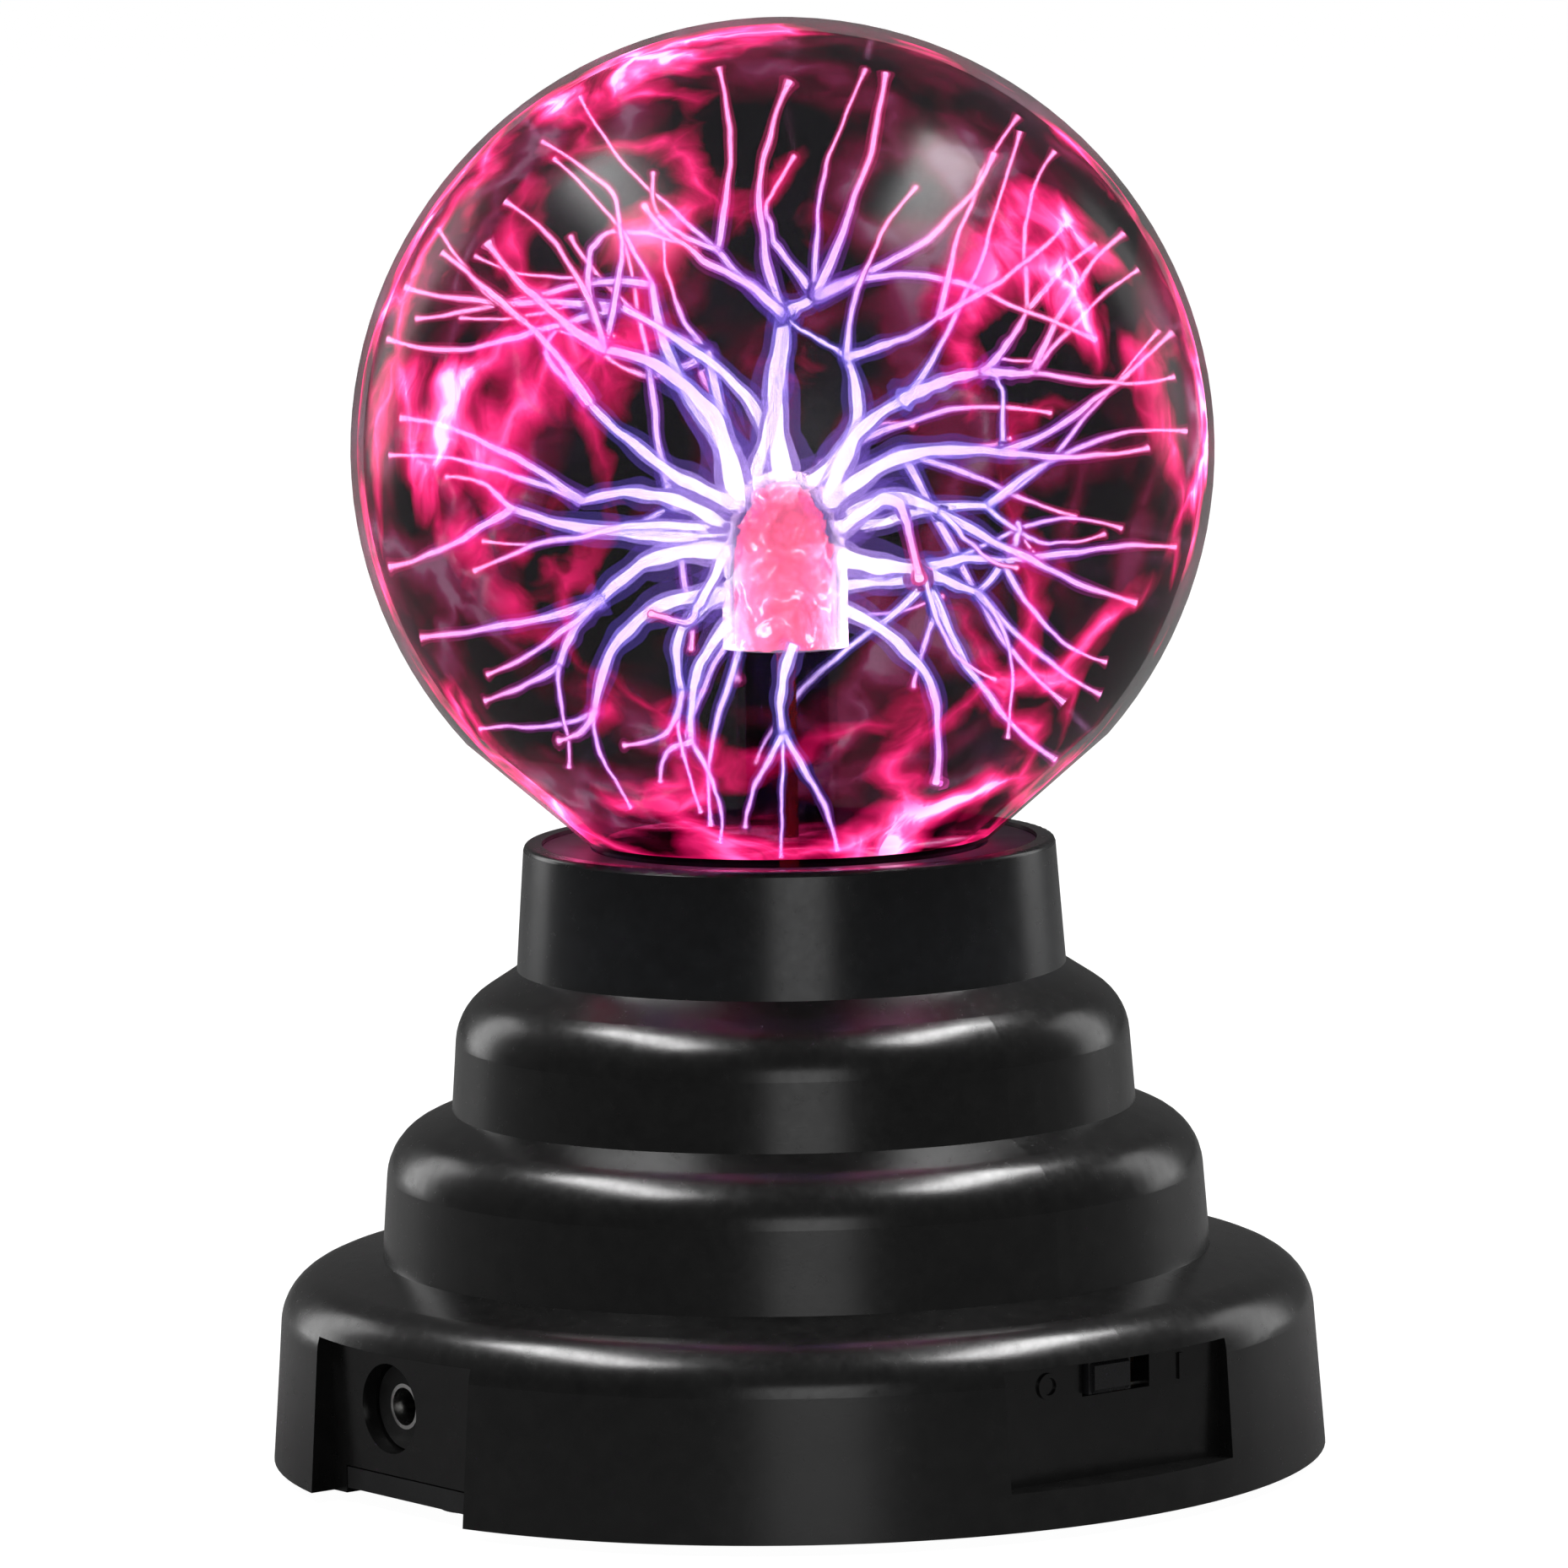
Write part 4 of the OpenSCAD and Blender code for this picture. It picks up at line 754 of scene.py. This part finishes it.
# Wisps: a web of cell edges bent by a slow noise, broken up by a second noise; voids between them stay dark.
def wispGlow(s):
    material, tree, shader = glowMaterial("plasmaWisps", s["strength"])
    place = objectPlace(tree)
    bend = node(tree, "ShaderNodeTexNoise", Scale=s["warpScale"], Detail=3.0, Roughness=0.55)
    tree.links.new(place, bend.inputs["Vector"])
    swing = vectorMaths(tree, "SUBTRACT", bend.outputs["Color"], (0.5, 0.5, 0.5))
    swing = vectorMaths(tree, "MULTIPLY", swing, (s["warp"] * 2,) * 3)
    bent = vectorMaths(tree, "ADD", place, swing)
    web = node(tree, "ShaderNodeTexVoronoi", feature="DISTANCE_TO_EDGE", Scale=s["cell"], Randomness=1.0)
    tree.links.new(bent, web.inputs["Vector"])
    edge = maths(tree, "SUBTRACT", 1.0, maths(tree, "MULTIPLY", web.outputs["Distance"], 2.6), clamp=True)
    cloud = noise(tree, bent, 48, 4.0, 0.6, 0.8)
    fine = noise(tree, bent, 240, 3.0, 0.6, 1.2)
    thick = maths(tree, "MULTIPLY", cloud, 1.8)
    broken = maths(tree, "ADD", 0.55, maths(tree, "MULTIPLY", fine, 0.8))
    body = maths(tree, "MULTIPLY", maths(tree, "POWER", edge, 2.0), thick, clamp=True)
    body = maths(tree, "MULTIPLY", body, broken, clamp=True)
    smoke = maths(tree, "MULTIPLY", maths(tree, "SUBTRACT", cloud, 0.5), 1.3, clamp=True)
    heat = maths(tree, "ADD", body, smoke, clamp=True)
    # large dark rooms in the web, and a clearing in front of the electrode
    rooms = ramp(tree, noise(tree, place, 34, 2.0, 0.5, 0.4), [(0.41, grey(0.05)), (0.56, grey(1.0))])
    heat = maths(tree, "MULTIPLY", heat, rooms)
    fromCentre = vectorMaths(tree, "SUBTRACT", place, tuple(globeCentre))
    side, rise, depth = s["clearing"]
    clearing = tuple((side * across + rise * upward + depth * toward) / globeRadius)
    facing = vectorMaths(tree, "DOT_PRODUCT", fromCentre, clearing)
    start, stop = s["clearEnds"]
    kept = ramp(tree, facing, [(start, grey(1.0)), ((start + stop) / 2, grey(0.62)), (stop, grey(0.0))])
    heat = maths(tree, "MULTIPLY", heat, kept, clamp=True)
    colours = [(0.0, (0.10, 0.0, 0.02)), (0.22, (0.70, 0.0, 0.09)), (0.5, (0.95, 0.02, 0.19)),
               (0.78, (1.0, 0.10, 0.38)), (1.0, (1.0, 0.38, 0.66))]
    tree.links.new(ramp(tree, heat, colours), shader.inputs["Emission Color"])
    alphas = [(0.0, grey(0.0)), (0.15, grey(0.0)), (0.5, grey(0.24)), (1.0, grey(0.55))]
    tree.links.new(ramp(tree, heat, alphas), shader.inputs["Alpha"])
    return material


globeSkin("plasmaWisps", wispSettings, wispGlow(wispSettings))
print("wisps made")


electrodeSettings = {"crumple": 0.32, "creases": 26, "seed": 3, "rings": 110, "sides": 150,
                     "glowGap": 0.22, "glowStrength": 42.0, "paintedOutlineSpan": (0.28, 0.70), "foilStrength": 17.0}


# Bullet outline: share 0 to 1 runs up the straight side and over the half round of the top.
# Returns distance from the axis and height for each share.
def bulletOutline(share, bottom, top, radius):
    straight = top - radius - bottom
    total = straight + radius * math.pi / 2
    run = share * total
    angle = np.clip((run - straight) / radius, 0, math.pi / 2)
    return radius * np.cos(angle), bottom + np.minimum(run, straight) + radius * np.sin(angle)


# A bullet closed with a flat floor and a point at the top. Creases: each is the fold of a triangle wave
# running across the surface in its own direction; their sum, centred, moves the surface in or out by the
# crumple height.
def bullet(name, bottom, top, radius, material, crumple=0.0, s=electrodeSettings):
    share = np.linspace(0, 1, s["rings"] + 1)[:-1]
    turn = np.linspace(0, 2 * math.pi, s["sides"], endpoint=False)
    out, height = (c[:, None] for c in bulletOutline(share, bottom, top, radius))
    grid = np.stack([out * np.cos(turn), out * np.sin(turn), height * np.ones(s["sides"])], -1)
    if crumple:
        rng = np.random.default_rng(s["seed"])
        fold = np.zeros(grid.shape[:2])
        for _ in range(s["creases"]):
            heading = unit(rng.normal(0, 1, 3)) / (rng.uniform(1.6, 5.0) * mm)
            fold += np.abs((grid @ heading + rng.uniform(0, 1)) % 1.0 - 0.5) * 2 - 0.5
        fold = np.clip(fold / math.sqrt(s["creases"]), -1, 1)
        middle = np.array([0, 0, (bottom + top) / 2])
        grid = grid + unit(grid - middle) * (np.minimum(fold, 0.15)[..., None] * crumple * mm)
    points = np.concatenate([grid.reshape(-1, 3), [[0, 0, top], [0, 0, bottom]]])
    rings, sides = s["rings"], s["sides"]
    apex, floor, last = rings * sides, rings * sides + 1, (rings - 1) * sides
    caps = [[apex, last + k, last + (k + 1) % sides] for k in range(sides)]
    caps += [[floor, (k + 1) % sides, k] for k in range(sides)]
    return meshPiece(name, points, ringFaces(rings, sides) + caps, material)


def foil(s):
    material, tree, shader = newMaterial("electrodeFoil")
    place = objectPlace(tree)
    shader.inputs["Metallic"].default_value = 0.8
    shader.inputs["Base Color"].default_value = (0.90, 0.62, 0.70, 1.0)
    # The foil glows pink with the discharge at the electrode; its whiter patches are painted highlights on
    # the crumpled foil.
    patches = noise(tree, place, 330, 4.0, 0.62, 2.2)
    colours = [(0.34, (0.55, 0.01, 0.08)), (0.46, (0.85, 0.03, 0.12)), (0.56, (0.95, 0.07, 0.20)),
               (0.66, (1.0, 0.60, 0.80))]
    tree.links.new(ramp(tree, patches, colours), shader.inputs["Emission Color"])
    shader.inputs["Emission Strength"].default_value = s["foilStrength"]
    tree.links.new(ramp(tree, patches, [(0.3, grey(0.24)), (0.7, grey(0.4))]), shader.inputs["Roughness"])
    bump(tree, shader, noise(tree, place, 900, 3.0, 0.6), 0.5, 0.05 * mm)
    material.cycles.emission_sampling = "NONE"
    return material


# The glow is painted as a bright outline seen from the lamp's front: its alpha falls with the distance in
# front of or behind the axis.
def electrodeGlow(s):
    material, tree, shader = glowMaterial("electrodeGlow", s["glowStrength"])
    place = objectPlace(tree)
    streak = noise(tree, place, 260, 2.0, 0.5, 0.6)
    tree.links.new(ramp(tree, streak, [(0.35, (1.0, 0.62, 0.92)), (0.7, (0.92, 0.78, 1.0))]),
                   shader.inputs["Emission Color"])
    start, stop = s["paintedOutlineSpan"]
    depth = maths(tree, "ABSOLUTE", vectorMaths(tree, "DOT_PRODUCT", place, tuple(toward / headRadius)))
    tree.links.new(ramp(tree, depth, [(start, grey(0.42)), (stop, grey(0.035))]), shader.inputs["Alpha"])
    return material


foilPiece = bullet("electrodeFoil", woolLow[2], woolHigh[2], woolHigh[0], foil(electrodeSettings),
                   crumple=electrodeSettings["crumple"])
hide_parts("electrode_wool")
gap = electrodeSettings["glowGap"] * mm
bullet("electrodeGlow", woolLow[2], tubeHigh[2] + gap, headRadius + gap, electrodeGlow(electrodeSettings))
print("electrode made")


stageSettings = {"floorRadius": 14.0, "floorGap": 0.05 * mm, "floorColour": (0.14, 0.14, 0.14),
                 "floorLift": 0.98, "skyLight": 0.10, "skySeen": 1.0}


# Floor: a broad disc with a faint mottle. Its own light keeps it pale, and its underside is clear, so that
# the lamp can be looked at from below.
def makeFloor(s):
    sides = 96
    turn = np.linspace(0, 2 * math.pi, sides, endpoint=False)
    mesh = bpy.data.meshes.new("floor")
    rim = np.stack([np.cos(turn), np.sin(turn), np.zeros(sides)], -1) * s["floorRadius"]
    rim[:, 2] = -s["floorGap"]
    mesh.from_pydata(rim.tolist(), [], [list(range(sides))])
    floor = bpy.data.objects.new("floor", mesh)
    scene.collection.objects.link(floor)
    material, tree, shader = newMaterial("floor")
    place = objectPlace(tree)
    low = tuple(0.985 * c for c in s["floorColour"])
    tree.links.new(ramp(tree, noise(tree, place, 9, 3.0, 0.5), [(0.3, low), (0.7, s["floorColour"])]),
                   shader.inputs["Base Color"])
    shader.inputs["Roughness"].default_value = 0.75
    shader.inputs["Specular IOR Level"].default_value = 0.1
    lightPath = node(tree, "ShaderNodeLightPath")
    tree.links.new(maths(tree, "MULTIPLY", lightPath.outputs["Is Camera Ray"], s["floorLift"]),
                   shader.inputs["Emission Strength"])
    shader.inputs["Emission Color"].default_value = (1.0, 1.0, 1.0, 1.0)
    facing = node(tree, "ShaderNodeNewGeometry")
    tree.links.new(maths(tree, "SUBTRACT", 1.0, facing.outputs["Backfacing"]), shader.inputs["Alpha"])
    mesh.materials.append(material)


def makeWorld(s):
    world = bpy.data.worlds.new("world")
    scene.world = world
    world.use_nodes = True
    tree = world.node_tree
    background = next(n for n in tree.nodes if n.type == "BACKGROUND")
    background.inputs["Color"].default_value = (1.0, 1.0, 1.0, 1.0)
    lightPath = node(tree, "ShaderNodeLightPath")
    extra = maths(tree, "MULTIPLY", lightPath.outputs["Is Camera Ray"], s["skySeen"] - s["skyLight"])
    tree.links.new(maths(tree, "ADD", extra, s["skyLight"]), background.inputs["Strength"])


# Soft boxes: side and rise in degrees, from the lamp's front and from level; distance and size in metres.
softBoxes = {
    "boxLeft": {"side": -84.0, "rise": 59.0, "distance": 1.1, "size": (0.80, 0.22), "power": 11.0},
    "boxRight": {"side": 88.0, "rise": 60.0, "distance": 1.1, "size": (0.74, 0.22), "power": 12.0},
    "stripLeft": {"side": -134.0, "rise": 12.0, "distance": 1.0, "size": (0.30, 0.62), "power": 1.3},
    "stripRight": {"side": 126.0, "rise": 12.0, "distance": 1.0, "size": (0.34, 0.66), "power": 1.2},
    "frontFill": {"side": 4.0, "rise": 6.0, "distance": 1.7, "size": (0.7, 0.8), "power": 3.6},
}


def makeLights(boxes):
    aim = np.array([0.0, 0.0, 0.06])
    for name, s in boxes.items():
        side, rise = math.radians(s["side"]), math.radians(s["rise"])
        level = math.cos(side) * toward + math.sin(side) * across
        heading = math.cos(rise) * level + math.sin(rise) * upward
        light = bpy.data.lights.new(name, "AREA")
        light.shape = "RECTANGLE"
        light.size, light.size_y = s["size"]
        light.energy = s["power"]
        lamp = bpy.data.objects.new(name, light)
        scene.collection.objects.link(lamp)
        lamp.location = aim + heading * s["distance"]
        back = unit(heading)
        right = unit(np.cross(upward, back))
        turned = np.eye(4)
        turned[:3, :3] = np.stack([right, np.cross(back, right), back], 1)
        lamp.rotation_mode = "QUATERNION"
        lamp.rotation_quaternion = type(lamp.matrix_world)(turned.tolist()).to_quaternion()
        lamp.visible_camera = False


makeFloor(stageSettings)
makeWorld(stageSettings)
makeLights(softBoxes)
print("stage made")
